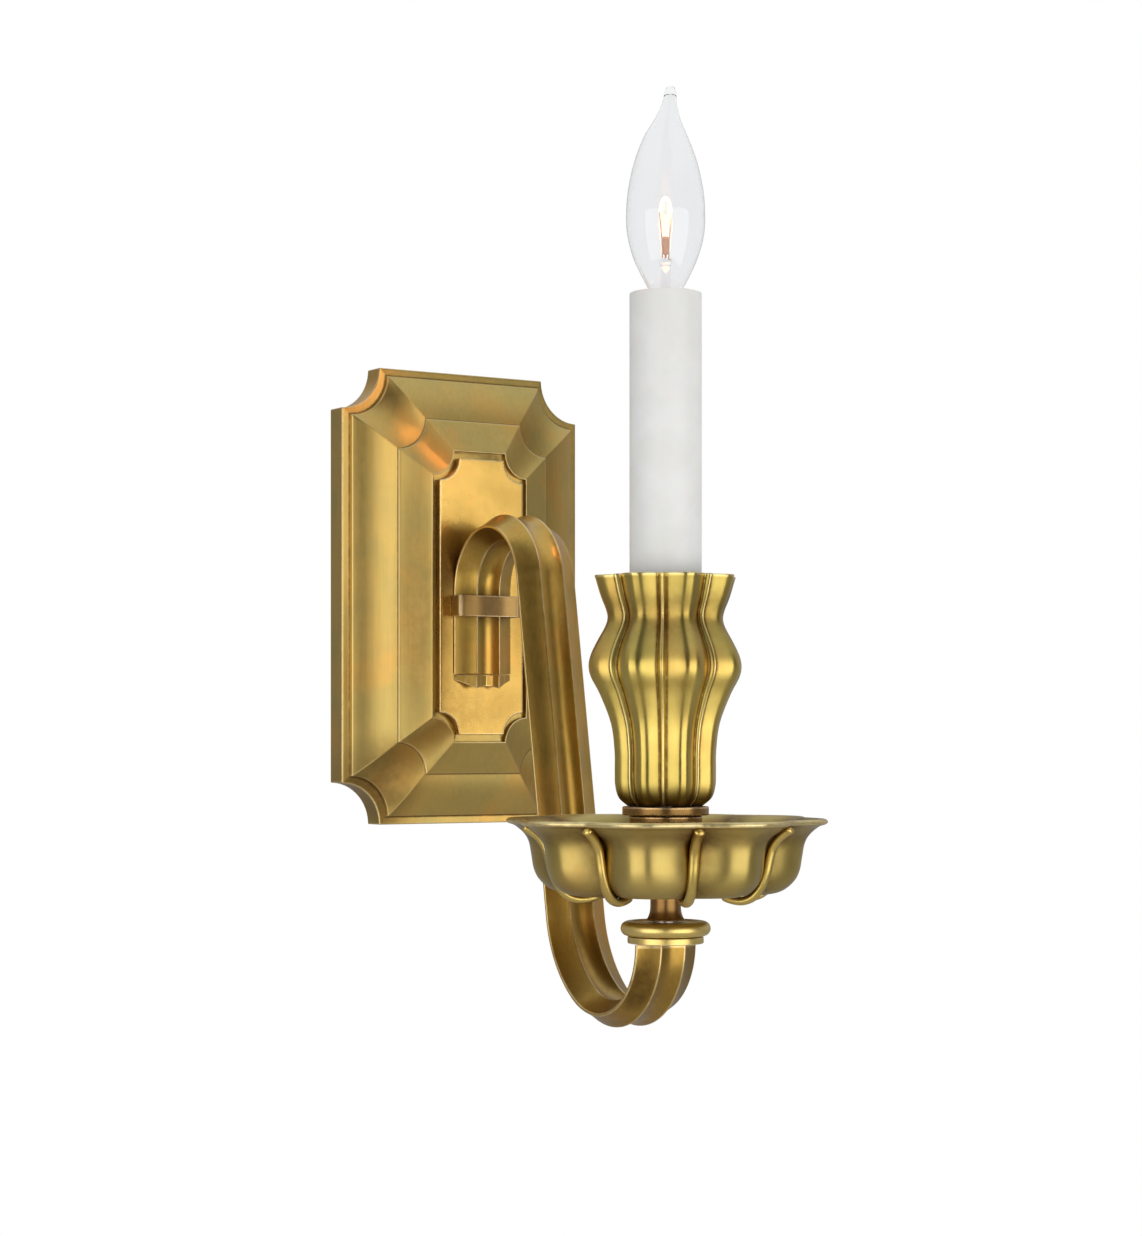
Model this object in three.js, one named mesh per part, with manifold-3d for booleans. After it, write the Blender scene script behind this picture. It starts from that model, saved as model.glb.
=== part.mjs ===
// Wall sconce: a moulded backplate, a looped arm, a lobed drip dish and a fluted cup
// that hold one candle sleeve with a flame-shaped bulb.
//
// Millimetres, +Z up. The wall is the plane Y = 0, the object stands out towards -Y,
// and the origin is the middle of the wall bracket's back.
// "Reach" below means distance out from the wall, which is -Y.

import * as THREE from "three";
import { mergeVertices } from "three/addons/utils/BufferGeometryUtils.js";
import Module from "manifold-3d";

const wasm = await Module();
wasm.setup();

// ---------------------------------------------------------------- driving dimensions

const GAP = 0.3; // left between pieces that touch

const PLATE = {
  width: 122,
  height: 203.2,
  scoop: 18.7, // radius of the concave corner at the outer edge
  innerScoop: 10.9, // the same corner at the inner ridge
  frameWidth: 36.9, // outer edge to ridge
  sideDepth: 10.7,
  ridgeReach: 27.2,
  wall: 2.8,
  wellReach: 25.0, // floor of the well that holds the centre panel
  wellThickness: 2.6,
};
const PANEL = { width: 43, height: 123, scoop: 9.8, face: 28.6 };
const WELL_BACK = PLATE.wellReach - PLATE.wellThickness;
const BRACKET = {
  width: 30,
  thickness: 2,
  height: 194,
  tabDepth: 8.5,
  tabWidth: 18,
  slotZ: 44.5, // height of each fixing slot, above and below the middle
  slotHalfLength: 5,
  slotRadius: 2.4,
  wireWindow: { radius: 8, z: -22 },
};
const TAB_INNER = BRACKET.height / 2 - BRACKET.thickness;
const SET_SCREW = { reach: 5, radius: 1.6, holeInPlate: 2.3, holeInTab: 1.9 };
const GROUND_SCREW = { x: -8, z: 30, shank: 1.7, head: 3.4, headHeight: 2 };

const BAR = {
  halfWidth: 14.5,
  edgeHalfThickness: 0.5,
  ridgeOffset: 5.8, // ridge line to the bar's middle
  ridgeHeight: 5.7, // ridge above the bar's mid-plane, on both faces
  fluteDepth: 1.5,
  bandHollow: 0.35,
};
const ARM = {
  hookBottom: -34.4,
  loopStart: 2.2,
  loopRadius: 26.9,
  lean: 9.45, // degrees off plumb, on the long leg
  legLength: 147,
  bendRadius: 49, // first part of the lower bend
  bendSweep: 45.4,
  tipRadius: 29.95, // rest of the lower bend
};
const ARM_BACK = PANEL.face + GAP; // reach of the flat that lies on the panel
const CAP_DROP = 2.3; // end cap, joint to the lowest edge
const CAP_RAKE = 0.72; // how much lower the cap runs for each mm further out
const CLASP = {
  halfWidth: 15.8,
  reach: 36.4,
  height: 9.4,
  middle: -4.4,
  thickness: 0.9,
  corner: 1.6,
};

// Supply lead and its channel in the arm. The offset runs from the bar's mid-plane to its front.
const WIRE = { radius: 1.1, channel: 1.6, offset: 1.85, bend: 3, entryZ: -4.4, startReach: 6 };
const POCKET = { radius: 4.2, depth: 3.2 }; // where the lead turns up, in the arm's back
const BUSHING = { bore: 3.6, outer: 5.4, hole: 5.7, flange: 7.4, flangeThickness: 1.4 };

const ARM_SCREW = { shank: 1.7, head: 3.8, headHeight: 2.4, hole: 2.4, holeInArm: 2, depthInArm: 3 };
const ARM_SCREWS_Z = [15, -24];
const WASHER = { radius: 5, hole: 2.3, thickness: 1 };

const TUBE = { outer: 4.9, inner: 3.3, hole: 5.2 }; // threaded tube on the candle axis
// Heights on the candle axis.
const LEVEL = {
  armEnd: -145.6,
  collarTop: -142.6,
  discTop: -136.4,
  dishUnder: -126.8,
  rim: -96.9,
  lowRingTop: -94.2,
  highRingTop: -90.4,
  cupUnder: -90.1,
  sleeveFoot: -85.2,
  socketFoot: 75.3,
  socketTop: 108.8,
  sleeveTop: 115.5,
  bulbContact: 87.6,
};
const LOBES = 8; // round the dish and round the cup
const DISH = {
  rim: 65.2,
  depth: 29.9,
  wall: 1.9,
  floor: 2.5,
  valley: 0.09, // share of the radius lost in a valley
  ribProud: 1.2,
  ribDrop: 3.2,
  turn: 1.2, // degrees about the axis
};
const SPACER = { foot: 13.5, waist: 8.4, shoulder: 9.2, head: 12.6 };
const SEAT_RINGS = { lower: 14.65, upper: 17.4, round: 0.55 };
const CUP = { wall: 1.8, height: 92.1, floor: 2.2, turn: 7.35 };
const FLUTE = { groove: 4.6, grooveShare: 0.872, beadShare: 0.034, creaseShare: 0.022 };
const NUT = { acrossFlats: 14, height: 3.6 };
const STRAP = { inner: 9.2, outer: 10.7, halfWidth: 4.5, thickness: 1.5 };
const SLEEVE = { outer: 14.5, inner: 12.8 };
const SOCKET = {
  radius: 10.4,
  bore: 7.5,
  shellOuter: 7.15,
  shellInner: 6.75,
  shellFoot: 92.5,
  shellTop: 108,
  contactRadius: 2.4,
  terminalZ: 6, // above the socket's foot
};
const THREAD = { ridges: 3, depth: 0.35 };
const BULB = {
  shell: 5.95,
  shellInner: 5.5,
  shellFoot: 92.2,
  shellTop: 109.2,
  neck: 4.5,
  glass: 0.7,
  top: 198.7,
  tipShift: 2, // how far the tip leans to one side
  tipTurn: -32, // and towards where, in degrees about the axis
};
const STEM_TOP = 129.5;
const FILAMENT = { foot: 143.6, rise: 10.2, halfWidth: 2.6, radius: 0.45 };
const LEAD_WIRE = { radius: 0.28, foot: 129.8, top: 143.2, footSpread: 1.5, topSpread: 2.6 };

// ---------------------------------------------------------------- colours

const BRASS = { color: 0xa98b45, roughness: 0.34, metalness: 1 };
const BRIGHT_BRASS = { color: 0xc9a544, roughness: 0.22, metalness: 1 };
const WARM_BRASS = { color: 0xc89b4a, roughness: 0.3, metalness: 1 };
const COPPERY = { color: 0xa8743c, roughness: 0.32, metalness: 1 };
const STEEL = { color: 0xb9bbbd, roughness: 0.35, metalness: 1 };
const WHITE = { color: 0xf1efe9, roughness: 0.5, metalness: 0 };
const DARK = { color: 0x1d1b1a, roughness: 0.5, metalness: 0 };
const GREEN = { color: 0x2f7a3f, roughness: 0.4, metalness: 0.6 };
const GLASS = { color: 0xf4f7f8, roughness: 0.04, metalness: 0 };
const GLOW = { color: 0xffe2b0, roughness: 0.6, metalness: 0 };

const sconce = new THREE.Group();
const candle = new THREE.Group();
sconce.add(candle);

function place(parent, name, geometry, finish) {
  const mesh = new THREE.Mesh(geometry, new THREE.MeshStandardMaterial(finish));
  mesh.name = name;
  parent.add(mesh);
  return mesh;
}

// ---------------------------------------------------------------- solid tools

function signedVolume(geometry) {
  const at = geometry.attributes.position;
  const [a, b, c] = [new THREE.Vector3(), new THREE.Vector3(), new THREE.Vector3()];
  let sum = 0;
  for (let i = 0; i < geometry.index.count; i += 3) {
    a.fromBufferAttribute(at, geometry.index.getX(i));
    b.fromBufferAttribute(at, geometry.index.getX(i + 1));
    c.fromBufferAttribute(at, geometry.index.getX(i + 2));
    sum += a.dot(b.cross(c));
  }
  return sum / 6;
}

function fromArrays(positions, index) {
  const geometry = new THREE.BufferGeometry();
  geometry.setAttribute("position", new THREE.Float32BufferAttribute(positions, 3));
  geometry.setIndex(index);
  if (signedVolume(geometry) < 0) geometry.index.array.reverse();
  return geometry;
}

// Skins equal-length rings of points. With no caps the last ring meets the first.
// capOutline is the flat outline of an end ring, used to fill both ends.
function skin(rings, capOutline = null) {
  const count = rings[0].length;
  const positions = rings.flatMap((ring) => ring.flatMap((point) => point.toArray()));
  const index = [];
  const lanes = capOutline ? rings.length - 1 : rings.length;
  for (let lane = 0; lane < lanes; lane += 1) {
    const here = lane * count;
    const next = ((lane + 1) % rings.length) * count;
    for (let i = 0; i < count; i += 1) {
      const j = (i + 1) % count;
      index.push(here + i, here + j, next + j, here + i, next + j, next + i);
    }
  }
  if (capOutline) {
    const last = (rings.length - 1) * count;
    for (const [a, b, c] of THREE.ShapeUtils.triangulateShape(capOutline, [])) {
      index.push(c, b, a, last + a, last + b, last + c);
    }
  }
  return fromArrays(positions, index);
}

function solid(geometry) {
  const bare = geometry.clone();
  bare.deleteAttribute("normal");
  bare.deleteAttribute("uv");
  const merged = mergeVertices(bare, 1e-4);
  return new wasm.Manifold(new wasm.Mesh({
    numProp: 3,
    vertProperties: new Float32Array(merged.attributes.position.array),
    triVerts: new Uint32Array(merged.index.array),
  }));
}

function toGeometry(manifold) {
  const mesh = manifold.getMesh();
  return fromArrays(Array.from(mesh.vertProperties), Array.from(mesh.triVerts));
}

function cut(geometry, ...tools) {
  const left = tools.reduce((body, tool) => body.subtract(solid(tool)), solid(geometry));
  return toGeometry(left);
}

function join(first, ...others) {
  return toGeometry(others.reduce((body, other) => body.add(solid(other)), solid(first)));
}

// Box from its lowest to its highest corner.
function box(low, high) {
  const size = high.map((value, axis) => value - low[axis]);
  const middle = high.map((value, axis) => (value + low[axis]) / 2);
  return new THREE.BoxGeometry(...size).translate(...middle);
}

// Round bar along Y, between two reaches, at height z.
function barOut(radius, fromReach, toReach, x, z, segments = 20) {
  const rod = new THREE.CylinderGeometry(radius, radius, toReach - fromReach, segments);
  return rod.translate(x, -(fromReach + toReach) / 2, z);
}

function barUp(radius, bottom, top, segments = 20) {
  const rod = new THREE.CylinderGeometry(radius, radius, top - bottom, segments);
  return rod.rotateX(Math.PI / 2).translate(0, 0, (bottom + top) / 2);
}

// Turned piece about Z from [radius, height] pairs. Rings repeat their first pair last.
function turned(outline, segments = 24) {
  const points = outline.map(([radius, height]) => new THREE.Vector2(radius, height));
  return new THREE.LatheGeometry(points, segments).rotateX(Math.PI / 2);
}

function turnedRing(outline, segments) {
  return turned([...outline, outline[0]], segments);
}

function arcPairs(centre, radius, fromDegrees, toDegrees, steps) {
  return Array.from({ length: steps + 1 }, (_, k) => {
    const angle = THREE.MathUtils.degToRad(fromDegrees + ((toDegrees - fromDegrees) * k) / steps);
    return [centre[0] + radius * Math.cos(angle), centre[1] + radius * Math.sin(angle)];
  });
}

// ---------------------------------------------------------------- backplate and panel

const SCOOP_STEPS = 6;

// Rectangle with a concave quarter circle at each corner, at one reach.
function scoopedRing(halfWidth, halfHeight, scoop, reach) {
  const corners = [[1, 1], [-1, 1], [-1, -1], [1, -1]];
  return corners.flatMap(([sideX, sideZ], corner) => {
    const start = (corner - 1) * 90;
    const arc = arcPairs([sideX * halfWidth, sideZ * halfHeight], scoop, start, start - 90, SCOOP_STEPS);
    return arc.map(([x, z]) => new THREE.Vector3(x, -reach, z));
  });
}

function outlineOf(ring) {
  return ring.map((point) => new THREE.Vector2(point.x, point.z));
}

// Ring of the backplate at an inset from its outer edge.
function plateRing(inset, reach) {
  const shrink = (PLATE.scoop - PLATE.innerScoop) * (inset / PLATE.frameWidth);
  return scoopedRing(PLATE.width / 2 - inset, PLATE.height / 2 - inset, PLATE.scoop - shrink, reach);
}

// Hollow of the frame's wide outer band, as [inset, reach] pairs.
function bandPairs() {
  const curve = new THREE.QuadraticBezierCurve(
    new THREE.Vector2(3.9, 12.9), new THREE.Vector2(13.6, 15.9), new THREE.Vector2(22.5, 20.8),
  );
  return curve.getPoints(5).map((point) => point.toArray());
}

function backplate() {
  const lip = PLATE.sideDepth;
  const front = [
    [PLATE.frameWidth + 0.1, PLATE.wellReach],
    [PLATE.frameWidth, PLATE.ridgeReach],
    [22.8, 21.5],
    ...bandPairs().reverse(),
    [3.4, lip + 0.3],
    [0, lip],
    [0, 0],
  ];
  const back = [[PLATE.wall, 0], [PLATE.wall, 7.6], [4.8, 8.6], [22.5, 17.7], [34.4, WELL_BACK]];
  const rings = [...front, ...back].map(([inset, reach]) => plateRing(inset, reach));
  const shell = skin(rings, outlineOf(rings[0]));
  const edge = PLATE.height / 2;
  const setScrewHoles = [-1, 1].map((side) => {
    const [low, high] = [side * (edge - 6), side * (edge + 1)].sort((a, b) => a - b);
    return barUp(SET_SCREW.holeInPlate, low, high).translate(0, -SET_SCREW.reach, 0);
  });
  return cut(shell, ...armFixingHoles(WELL_BACK, PLATE.wellReach), ...setScrewHoles);
}

// Holes for the arm's two screws and the wire bushing, through a layer between two reaches.
function armFixingHoles(fromReach, toReach) {
  const holes = ARM_SCREWS_Z.map((z) => barOut(ARM_SCREW.hole, fromReach - 1, toReach + 1, 0, z));
  return [...holes, barOut(BUSHING.hole, fromReach - 1, toReach + 1, 0, WIRE.entryZ)];
}

function centrePanel() {
  const { width, height, scoop, face } = PANEL;
  const bevel = 0.5;
  const back = PLATE.wellReach + GAP;
  const rings = [
    scoopedRing(width / 2, height / 2, scoop, back),
    scoopedRing(width / 2, height / 2, scoop, face - bevel),
    scoopedRing(width / 2 - bevel, height / 2 - bevel, scoop, face),
  ];
  const slab = skin(rings, outlineOf(rings[0]));
  return cut(slab, ...armFixingHoles(back, face));
}

// ---------------------------------------------------------------- wall bracket and its screws

function slotHole(z) {
  const { thickness, slotHalfLength: half, slotRadius: radius } = BRACKET;
  const ends = [-half, half].map((x) => barOut(radius, -1, thickness + 1, x, z));
  const middle = box([-half, -thickness - 1, z - radius + 0.05], [half, 1, z + radius - 0.05]);
  return join(middle, ...ends);
}

function wallBracket() {
  const { width, thickness, height, tabDepth, tabWidth, slotZ, wireWindow } = BRACKET;
  const strap = box([-width / 2, -thickness, -height / 2], [width / 2, 0, height / 2]);
  const tabs = [1, -1].map((side) => {
    const zs = [side * TAB_INNER, (side * height) / 2].sort((a, b) => a - b);
    return box([-tabWidth / 2, -tabDepth, zs[0]], [tabWidth / 2, -thickness / 2, zs[1]]);
  });
  const tabHoles = barUp(SET_SCREW.holeInTab, -height, height).translate(0, -SET_SCREW.reach, 0);
  const window = barOut(wireWindow.radius, -1, thickness + 1, 0, wireWindow.z, 28);
  const { x, z, shank } = GROUND_SCREW;
  const groundHole = barOut(shank + GAP, -1, thickness + 1, x, z, 14);
  return cut(join(strap, ...tabs), tabHoles, window, groundHole, slotHole(slotZ), slotHole(-slotZ));
}

// Grub screw that runs through the plate's top or bottom wall into a bracket tab.
function setScrew(side) {
  const outer = PLATE.height / 2 - 0.6;
  const inner = TAB_INNER - 2.5;
  const slot = box([-3, -0.35, outer - 1], [3, 0.35, outer + 1]);
  const screw = cut(barUp(SET_SCREW.radius, inner, outer, 16), slot).translate(0, -SET_SCREW.reach, 0);
  return side > 0 ? screw : toGeometry(solid(screw).mirror([0, 0, 1]));
}

// Slotted screw along Y. The head's underside is at headReach and the shank ends at tipReach.
function panScrew({ shank, head, headHeight }, headReach, tipReach, x, z) {
  const inward = Math.sign(tipReach - headReach);
  const outer = headReach - inward * headHeight;
  const [low, high] = [headReach, outer].sort((a, b) => a - b);
  const [from, to] = [headReach - inward * 0.5, tipReach].sort((a, b) => a - b);
  const slot = box([x - head, -outer - 0.7, z - 0.4], [x + head, -outer + 0.7, z + 0.4]);
  return cut(join(barOut(head, low, high, x, z, 16), barOut(shank, from, to, x, z, 16)), slot);
}

function groundScrew() {
  const { x, z } = GROUND_SCREW;
  return panScrew(GROUND_SCREW, BRACKET.thickness + GAP, GAP, x, z);
}

// Flat ring on an axis along Y.
function ringOut(radius, hole, fromReach, toReach, z) {
  const disc = barOut(radius, fromReach, toReach, 0, z, 24);
  return cut(disc, barOut(hole, fromReach - 1, toReach + 1, 0, z, 24));
}

// Insulating bush that leads the wire through the well's floor and the panel.
function wireBushing() {
  const seat = WELL_BACK - GAP;
  const sleeve = barOut(BUSHING.outer, seat, PANEL.face - 0.5, 0, WIRE.entryZ, 24);
  const flange = barOut(BUSHING.flange, seat - BUSHING.flangeThickness, seat, 0, WIRE.entryZ, 24);
  return cut(join(sleeve, flange), barOut(BUSHING.bore, seat - 4, PANEL.face + 2, 0, WIRE.entryZ, 24));
}

// ---------------------------------------------------------------- arm

// Unit vector a quarter turn to the left of a heading, in the (reach, height) plane.
function leftOf(heading) {
  return new THREE.Vector2(-Math.sin(heading), Math.cos(heading));
}

// A point moved along a direction.
function offset(point, direction, distance) {
  return point.clone().addScaledVector(direction, distance);
}

// Stations along the arm's mid-plane: reach, height and the normal on its wall-side face.
function armStations() {
  const radians = THREE.MathUtils.degToRad;
  const stations = [];
  let heading = Math.PI / 2;
  let at = new THREE.Vector2(ARM_BACK, ARM.hookBottom);
  const record = () => stations.push({ at, normal: leftOf(heading) });
  const run = (length, steps) => {
    const ahead = leftOf(heading - Math.PI / 2);
    for (let k = 0; k < steps; k += 1) {
      at = offset(at, ahead, length / steps);
      record();
    }
  };
  const bend = (radius, sweep, steps) => {
    const signedRadius = Math.sign(sweep) * radius;
    const centre = offset(at, leftOf(heading), signedRadius);
    for (let k = 0; k < steps; k += 1) {
      heading += sweep / steps;
      at = offset(centre, leftOf(heading), -signedRadius);
      record();
    }
  };
  record();
  run(ARM.loopStart - ARM.hookBottom, 2);
  bend(ARM.loopRadius, -radians(180 - ARM.lean), 15);
  run(ARM.legLength, 3);
  bend(ARM.bendRadius, radians(ARM.bendSweep), 6);
  bend(ARM.tipRadius, Math.PI / 2 - heading, 10);
  run(LEVEL.armEnd - at.y, 1);
  return stations;
}

const STATIONS = armStations();
const AXIS_REACH = STATIONS[STATIONS.length - 1].at.x;

// Quarter of the bar's section, as [across, up] pairs, from the side edge to the flute's middle.
function quarterSection() {
  const { halfWidth, edgeHalfThickness, ridgeOffset, ridgeHeight, fluteDepth, bandHollow } = BAR;
  const bandMiddle = [
    (halfWidth + ridgeOffset) / 2,
    (edgeHalfThickness + ridgeHeight) / 2 - bandHollow,
  ];
  const partWay = 0.55;
  const flute = [partWay * ridgeOffset, ridgeHeight - fluteDepth * (1 - partWay ** 2)];
  return [[halfWidth, edgeHalfThickness], bandMiddle, [ridgeOffset, ridgeHeight], flute];
}

function barSection() {
  const quarter = quarterSection();
  const middle = [0, BAR.ridgeHeight - BAR.fluteDepth];
  const top = [...quarter, middle, ...quarter.map(([x, y]) => [-x, y]).reverse()];
  return [...top, ...top.map(([x, y]) => [x, -y]).reverse()];
}

// Ring of a section carried to a station. "Up" in the section is the wall-side normal.
function sectionRing(section, station, lift = 0) {
  return section.map(([across, up]) => {
    const spot = offset(station.at, station.normal, up + lift);
    return new THREE.Vector3(across, -spot.x, spot.y);
  });
}

function carried(section, stations, lift = 0) {
  const rings = stations.map((station) => sectionRing(section, station, lift));
  return skin(rings, section.map(([x, y]) => new THREE.Vector2(x, y)));
}

function circlePairs(radius, sides) {
  return arcPairs([0, 0], radius, 0, 360, sides).slice(0, sides);
}

function armBody() {
  const bar = carried(barSection(), STATIONS);
  const milling = box([-20, -ARM_BACK, -60], [20, 0, 60]);
  const start = { at: new THREE.Vector2(ARM_BACK, WIRE.entryZ), normal: STATIONS[0].normal };
  const last = STATIONS[STATIONS.length - 1];
  const beyond = { at: offset(last.at, new THREE.Vector2(0, 1), 2), normal: last.normal };
  const inside = STATIONS.slice(STATIONS.findIndex(({ at }) => at.y > WIRE.entryZ));
  const channel = carried(circlePairs(WIRE.channel, 8), [start, ...inside, beyond], -WIRE.offset);
  const pocket = barOut(POCKET.radius, ARM_BACK - 1, ARM_BACK + POCKET.depth, 0, WIRE.entryZ);
  const screwDepth = ARM_BACK + ARM_SCREW.depthInArm + 0.4;
  const screwHoles = ARM_SCREWS_Z.map((z) => barOut(ARM_SCREW.holeInArm, ARM_BACK - 1, screwDepth, 0, z));
  return cut(bar, milling, channel, pocket, ...screwHoles);
}

// Short cap on the hook's foot: the bar's front half with a raked end.
function armEndCap() {
  const frontHalf = barSection().filter(([, up]) => up <= 0);
  const top = ARM.hookBottom - GAP;
  const ring = (height) => frontHalf.map(([across, up]) => {
    return new THREE.Vector3(across, -(ARM_BACK - up - BAR.edgeHalfThickness), height(-up));
  });
  const rings = [ring(() => top), ring((proud) => top - CAP_DROP - CAP_RAKE * proud)];
  return skin(rings, frontHalf.map(([x, y]) => new THREE.Vector2(x, y)));
}

// Clasp: a strap bent round the front of the hook, open at the panel.
function armBand() {
  const { halfWidth, reach, height, middle, thickness, corner } = CLASP;
  const side = (half, front, round) => [
    [half, ARM_BACK],
    ...arcPairs([half - round, front - round], round, 0, 90, 3),
  ];
  const bent = (half, front, round) => {
    const right = side(half, front, round);
    return [...right, ...right.map(([x, y]) => [-x, y]).reverse()];
  };
  const outer = bent(halfWidth, reach, corner);
  const inner = bent(halfWidth - thickness, reach - thickness, corner - thickness);
  const outline = [...outer, ...inner.reverse()].map(([x, y]) => new THREE.Vector2(x, -y));
  const strap = new THREE.ExtrudeGeometry(new THREE.Shape(outline), { depth: height, bevelEnabled: false });
  return strap.translate(0, 0, middle - height / 2);
}

// Lead from the hollow of the backplate, through the arm, to the socket's foot.
function supplyLead() {
  const { bend, entryZ, startReach } = WIRE;
  const centre = new THREE.Vector2(ARM_BACK + WIRE.offset - bend, entryZ + bend);
  const turn = [0, 1, 2, 3].map((k) => {
    const normal = leftOf((k / 4) * (Math.PI / 2));
    return { at: offset(centre, normal, -bend), normal };
  });
  const start = { at: new THREE.Vector2(startReach, entryZ), normal: turn[0].normal };
  const afterTurn = STATIONS.findIndex(({ at }) => at.y > entryZ + bend);
  const inArm = STATIONS.slice(afterTurn).map(({ at, normal }) => {
    return { at: offset(at, normal, -WIRE.offset), normal };
  });
  const last = inArm[inArm.length - 1];
  const end = { at: new THREE.Vector2(last.at.x, LEVEL.socketFoot - 4), normal: last.normal };
  return carried(circlePairs(WIRE.radius, 6), [start, ...turn, ...inArm, end]);
}

// ---------------------------------------------------------------- pieces on the candle axis

candle.position.y = -AXIS_REACH;

function armEndCollar() {
  const radius = 15.3;
  const [foot, top] = [LEVEL.armEnd + GAP, LEVEL.collarTop];
  return turnedRing([
    [TUBE.hole, foot], [radius - 0.6, foot], [radius, foot + 0.5],
    [radius, top - 0.4], [radius - 0.4, top], [TUBE.hole, top],
  ]);
}

function armEndDisc() {
  const radius = 18.1;
  const under = LEVEL.collarTop + GAP;
  const roll = (LEVEL.discTop - under) / 2;
  const edge = arcPairs([radius - roll, under + roll], roll, -90, 90, 4);
  return turnedRing([[TUBE.hole, under], ...edge, [TUBE.hole, LEVEL.discTop]]);
}

function neckSpool() {
  const foot = LEVEL.discTop + GAP;
  const top = LEVEL.dishUnder - GAP;
  return turnedRing([
    [TUBE.hole, foot], [7.8, foot], [6.9, foot + 1.4], [6.2, foot + 4],
    [6.1, top - 2], [6.5, top], [TUBE.hole, top],
  ]);
}

// Angles round the axis in degrees, each with its distance from the nearest rib or bead.
// The distances given run from 0 to half a sector.
function sectorAngles(distances, turn) {
  const sector = 360 / LOBES;
  const before = distances.slice(1, -1).reverse();
  return Array.from({ length: LOBES }, (_, k) => [
    ...before.map((away) => ({ angle: k * sector + turn - away, away })),
    ...distances.map((away) => ({ angle: k * sector + turn + away, away })),
  ]).flat();
}

// Rings round the axis from [radius, height] pairs. "shape" gives each point's own pair.
function lobedRings(pairs, angles, shape) {
  return pairs.map(([radius, height], row) => angles.map(({ angle, away }) => {
    const [r, z] = shape(radius, height, away, row);
    const turn = THREE.MathUtils.degToRad(angle);
    return new THREE.Vector3(r * Math.cos(turn), r * Math.sin(turn), z);
  }));
}

function splinePairs(pairs, steps) {
  const spline = new THREE.SplineCurve(pairs.map(([x, y]) => new THREE.Vector2(x, y)));
  return spline.getPoints(steps).map((point) => point.toArray());
}

// Side of the dish outside a lobe, rim to floor: radius and depth below the rim.
function dishSide(steps) {
  return splinePairs([
    [DISH.rim, 0], [58.9, -2.6], [55.4, -7.6], [54.1, -14.5],
    [52.6, -20.6], [48.4, -25.8], [40.4, -29], [32, -DISH.depth],
  ], steps);
}

// Dish: eight lobes with a cord-like rib in each valley.
function dripDish() {
  const { smoothstep } = THREE.MathUtils;
  const outside = dishSide(9).reverse();
  const inside = dishSide(6).map(([radius, depth]) => {
    return [radius - DISH.wall, Math.max(depth + DISH.wall, DISH.floor - DISH.depth)];
  });
  inside[0] = [DISH.rim - 0.9, 0.35];
  const flat = 24;
  const pairs = [
    [TUBE.hole, -DISH.depth], [flat, -DISH.depth], ...outside,
    ...inside, [flat, DISH.floor - DISH.depth], [TUBE.hole, DISH.floor - DISH.depth],
  ];
  const rimRow = outside.length + 1;
  const half = 180 / LOBES;
  const shape = (radius, depth, fromRib, row) => {
    const towardsValley = (1 - fromRib / half) ** 2.4;
    const lobed = radius * (1 - DISH.valley * smoothstep(radius, 26, 46) * towardsValley);
    const onRib = fromRib === 0 && row >= 2 && row < rimRow;
    if (!onRib) return [lobed, LEVEL.rim + depth];
    const under = smoothstep(-depth, 16, 29);
    const drop = DISH.ribDrop * under * smoothstep(radius, 31, 38);
    return [lobed + DISH.ribProud * (1 - under), LEVEL.rim + depth - drop];
  };
  const angles = sectorAngles([0, 2.2, 4.2, 11, half], half + DISH.turn);
  return skin(lobedRings(pairs, angles, shape));
}

function dishSpacer() {
  const foot = LEVEL.rim - DISH.depth + DISH.floor + GAP;
  const top = LEVEL.rim - GAP;
  return turnedRing([
    [TUBE.hole, foot], [SPACER.foot, foot], [SPACER.foot, foot + 2.5], [SPACER.shoulder, foot + 6],
    [SPACER.waist, (foot + top) / 2], [SPACER.shoulder, top - 6], [SPACER.head, top - 2],
    [SPACER.head, top], [TUBE.hole, top],
  ], 28);
}

function seatRing(radius, foot, top) {
  const { round } = SEAT_RINGS;
  return turnedRing([
    [TUBE.hole, foot], [radius - round, foot], [radius, foot + round],
    [radius, top - round], [radius - round, top], [TUBE.hole, top],
  ]);
}

// Side of the cup over a lobe, floor to rim: radius and height above its underside.
function cupSide(steps) {
  return splinePairs([
    [16, 0], [20, 4.2], [21.3, 11], [21.4, 22], [22.9, 33], [27.3, 44.4],
    [32.4, 56], [28.9, 65.6], [24.1, 74.6], [27, 82.6], [29.7, CUP.height],
  ], steps);
}

// Share of the lobe's radius at an angle from the nearest bead's middle, in degrees.
function fluteShare(fromBead) {
  const { groove, grooveShare, beadShare, creaseShare } = FLUTE;
  const quarter = Math.PI / 2;
  if (fromBead < groove) return grooveShare + beadShare * Math.cos((fromBead / groove) * quarter);
  const across = (fromBead - groove) / (180 / LOBES - groove);
  const rise = Math.sin(Math.min(1, across * 1.9) * quarter);
  return grooveShare + (1 - grooveShare) * rise - creaseShare * across ** 4;
}

function candleCup() {
  const { wall, height: mouth, floor, turn } = CUP;
  const lip = wall - 0.6;
  const outside = cupSide(11);
  const inside = cupSide(6).slice(1, -1).reverse();
  const pairs = [
    [TUBE.hole, 0],
    ...outside,
    [outside[outside.length - 1][0] - lip, mouth],
    ...inside.map(([radius, height]) => [radius - wall, height]),
    [17.6, floor + 2],
    [14, floor],
    [TUBE.hole, floor],
  ];
  const shape = (radius, height, fromBead) => {
    const share = radius > TUBE.hole ? fluteShare(fromBead) : 1;
    return [radius * share, LEVEL.cupUnder + height];
  };
  const angles = sectorAngles([0, 3, FLUTE.groove, 8, 13.5, 180 / LOBES], turn);
  return skin(lobedRings(pairs, angles, shape));
}

// ---------------------------------------------------------------- inside the cup and sleeve

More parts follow.
